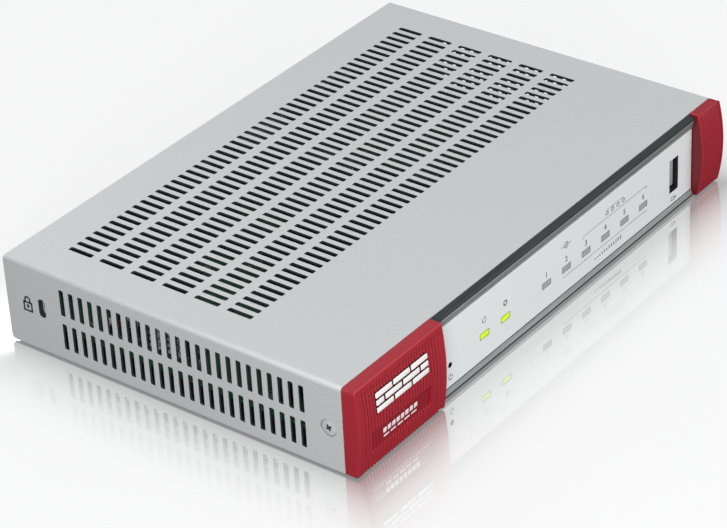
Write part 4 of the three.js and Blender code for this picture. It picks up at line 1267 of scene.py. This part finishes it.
def board_parts():
    """Small surface-mounted parts between the big ones, and taller ones near the vents."""
    random.seed(7)
    top = board_high.z
    around = ("main_board", "top_cover", "bottom_tray", "front_bezel", "front_panel")
    keep_out = [box(node) for node in frame["nodes"] if node not in around]
    groups = {kind: bmesh.new() for kind in PART_KINDS}
    margin = 0.8
    placed = 0
    while placed < SMALL_PARTS:
        x = random.uniform(board_low.x + 3, board_high.x - 3)
        y = random.uniform(board_low.y + 3, board_high.y - 6)
        axis = 1 if random.random() < 0.5 else 0
        length, width, height = random.choice(PART_SIZES)
        kind = "dark" if length > 4 else random.choice(("dark", "tan", "tan"))
        half = (width / 2, length / 2) if axis else (length / 2, width / 2)
        low, high = (x - half[0], y - half[1]), (x + half[0], y + half[1])
        if any(all(high[k] >= a[k] - margin and low[k] <= b[k] + margin for k in (0, 1)) for a, b in keep_out):
            continue
        block(groups[kind], (*low, top), (*high, top + height), 0.08, 1)
        # metal ends, a little proud of the body
        reach, proud = half[axis] * 0.3, 0.03
        for end in (low, high):
            end_low, end_high = [*low], [*high]
            if end is low:
                end_high[axis] = low[axis] + reach
            else:
                end_low[axis] = high[axis] - reach
            block(
                groups["silver"], (end_low[0] - proud, end_low[1] - proud, top),
                (end_high[0] + proud, end_high[1] + proud, top + height + proud), 0.05, 1,
            )
        placed += 1
    for kind, x, y, length, width, low, high in NEAR_VENTS:
        near = (x - length / 2, y - width / 2, top + low)
        block(groups[kind], near, (x + length / 2, y + width / 2, top + high), 0.2)
    for kind, bm in groups.items():
        look, slot = PART_KINDS[kind]
        finish_piece("board_parts_" + kind, bm, look, smooth=35)


def round_can(node):
    low, high = box(node)
    centre = middle(node)
    radius = (high.x - low.x) / 2
    z, top = low.z, high.z
    bm = bmesh.new()
    turned(bm, [
        (0, z), (radius - 0.3, z), (radius, z + 0.3), (radius, z + 1.0), (radius - 0.25, z + 1.4),
        (radius, z + 1.8), (radius, top - 0.4), (radius - 0.3, top - 0.05), (radius - 0.9, top),
        (radius - 1.0, top - 0.15), (0, top - 0.15),
    ], upright(centre.x, centre.y), 36)
    finish_piece(node + "_can", bm, "capacitor_sleeve", node=node, smooth=35)


# ---- make everything

make_camera()
make_world(0.38, FLOOR_LEVEL)
area_light("key", (0.45, -1.1, 1.25), (0, 0, 0), (1.2, 0.8), 15.2)
area_light("overhead", (-0.7, 0.15, 0.85), (0, 0, 0), (0.9, 0.9), 2.9)
area_light("rear_fill", (0.5, 1.3, 0.6), (0, 0.07, 0.015), (1.0, 0.6), 4.0)
area_light("left_fill", (-0.75, -0.55, 0.2), (-0.1, 0, 0.015), (0.5, 0.3), 4.9)

make_cover()
make_cover_lugs()
# the tray's inside and vent walls are painted dark as shade
refined("bottom_tray", "case_paint", 0, second=("inner_steel", inside_tray))
# the walls of the USB opening and the reset hole are painted dark as shade
refined("front_panel", "panel_plastic", 0.1, second=("component_plastic", socket_wall_shade))
# the deep faces of the USB insert are painted dark as shade
refined("usb_insert", "panel_plastic", second=("component_plastic", deep_insert_shade))
make_cap("left_cap_ribbed", "left_end_cap", LEFT_BOW, left_cap_low.x, left_cap_high.x, (1.9, 2.6), badge=BADGE)
make_cap(
    "right_cap_ribbed", "right_end_cap", RIGHT_BOW, right_cap_high.x, right_cap_low.x, (0.9, 1.1),
    ribbed_top=True,
)
make_emblem()
make_badge_print()

# look, rounding of the edges, nodes
for look, rounded, nodes in (
    ("case_paint", 0.1, ["lock_plate"]),
    ("bezel_plastic", 0.1, ["front_bezel"]),
    ("lit_lens", 0.08, ["status_light_pipe", "led_power", "led_system"]),
    ("clear_lens", 0.08, ["port_light_pipe"] + [f"led_port_{port + 1}" for port in range(PORTS)]),
    ("board_laminate", 0.08, ["main_board"]),
    ("component_plastic", 0.12, [
        "processor", "switch_chip", "memory_chip_1", "memory_chip_2", "flash_chip", "inductor",
    ]),
    ("component_plastic", 0.25, [f"line_transformer_{k}" for k in (1, 2, 3)]),
    ("component_plastic", 0.15, ["reset_switch"]),
    ("component_plastic", 0.1, ["console_jack", "wan_jack", "lan_jack_block"]),
    ("pad_silicone", 0.1, ["thermal_pad"]),
    ("sink_aluminium", 0.15, ["heat_sink"]),
    # the USB shell is painted dark as shade in the deep opening
    ("socket_inside", 0.12, ["usb_shell"]),
):
    for node in nodes:
        refined(node, look, rounded)
refined("reset_button", "switch_plastic", 0.15, body="reset_button")
refined("power_switch_body", "switch_plastic", 0.25, 3)
refined("power_rocker", "switch_plastic", 0.25, 3, body="power_rocker")
for number in (1, 2, 3):
    round_can(f"capacitor_{number}")
board_parts()
usb_tongue()
for node, ports in (("console_jack", 1), ("wan_jack", 1), ("lan_jack_block", 4)):
    jack_details(node, ports)
transceiver_cage()
dc_socket()
rocker_marks()
make_fasteners()

front_marks()
# the dark edges round the lamp windows are painted shade
lamp_frames("status_lamp_edges", (-3, -2), "lit_edge")
lamp_frames("port_lamp_edges", range(PORTS), "clear_edge")
lock_mark()
rear_marks()

floor_mesh = bmesh.new()
bmesh.ops.create_grid(floor_mesh, x_segments=1, y_segments=1, size=6)
mesh_object("floor", floor_mesh, ["floor_paper"])

bpy.context.scene.view_settings.view_transform = "Standard"
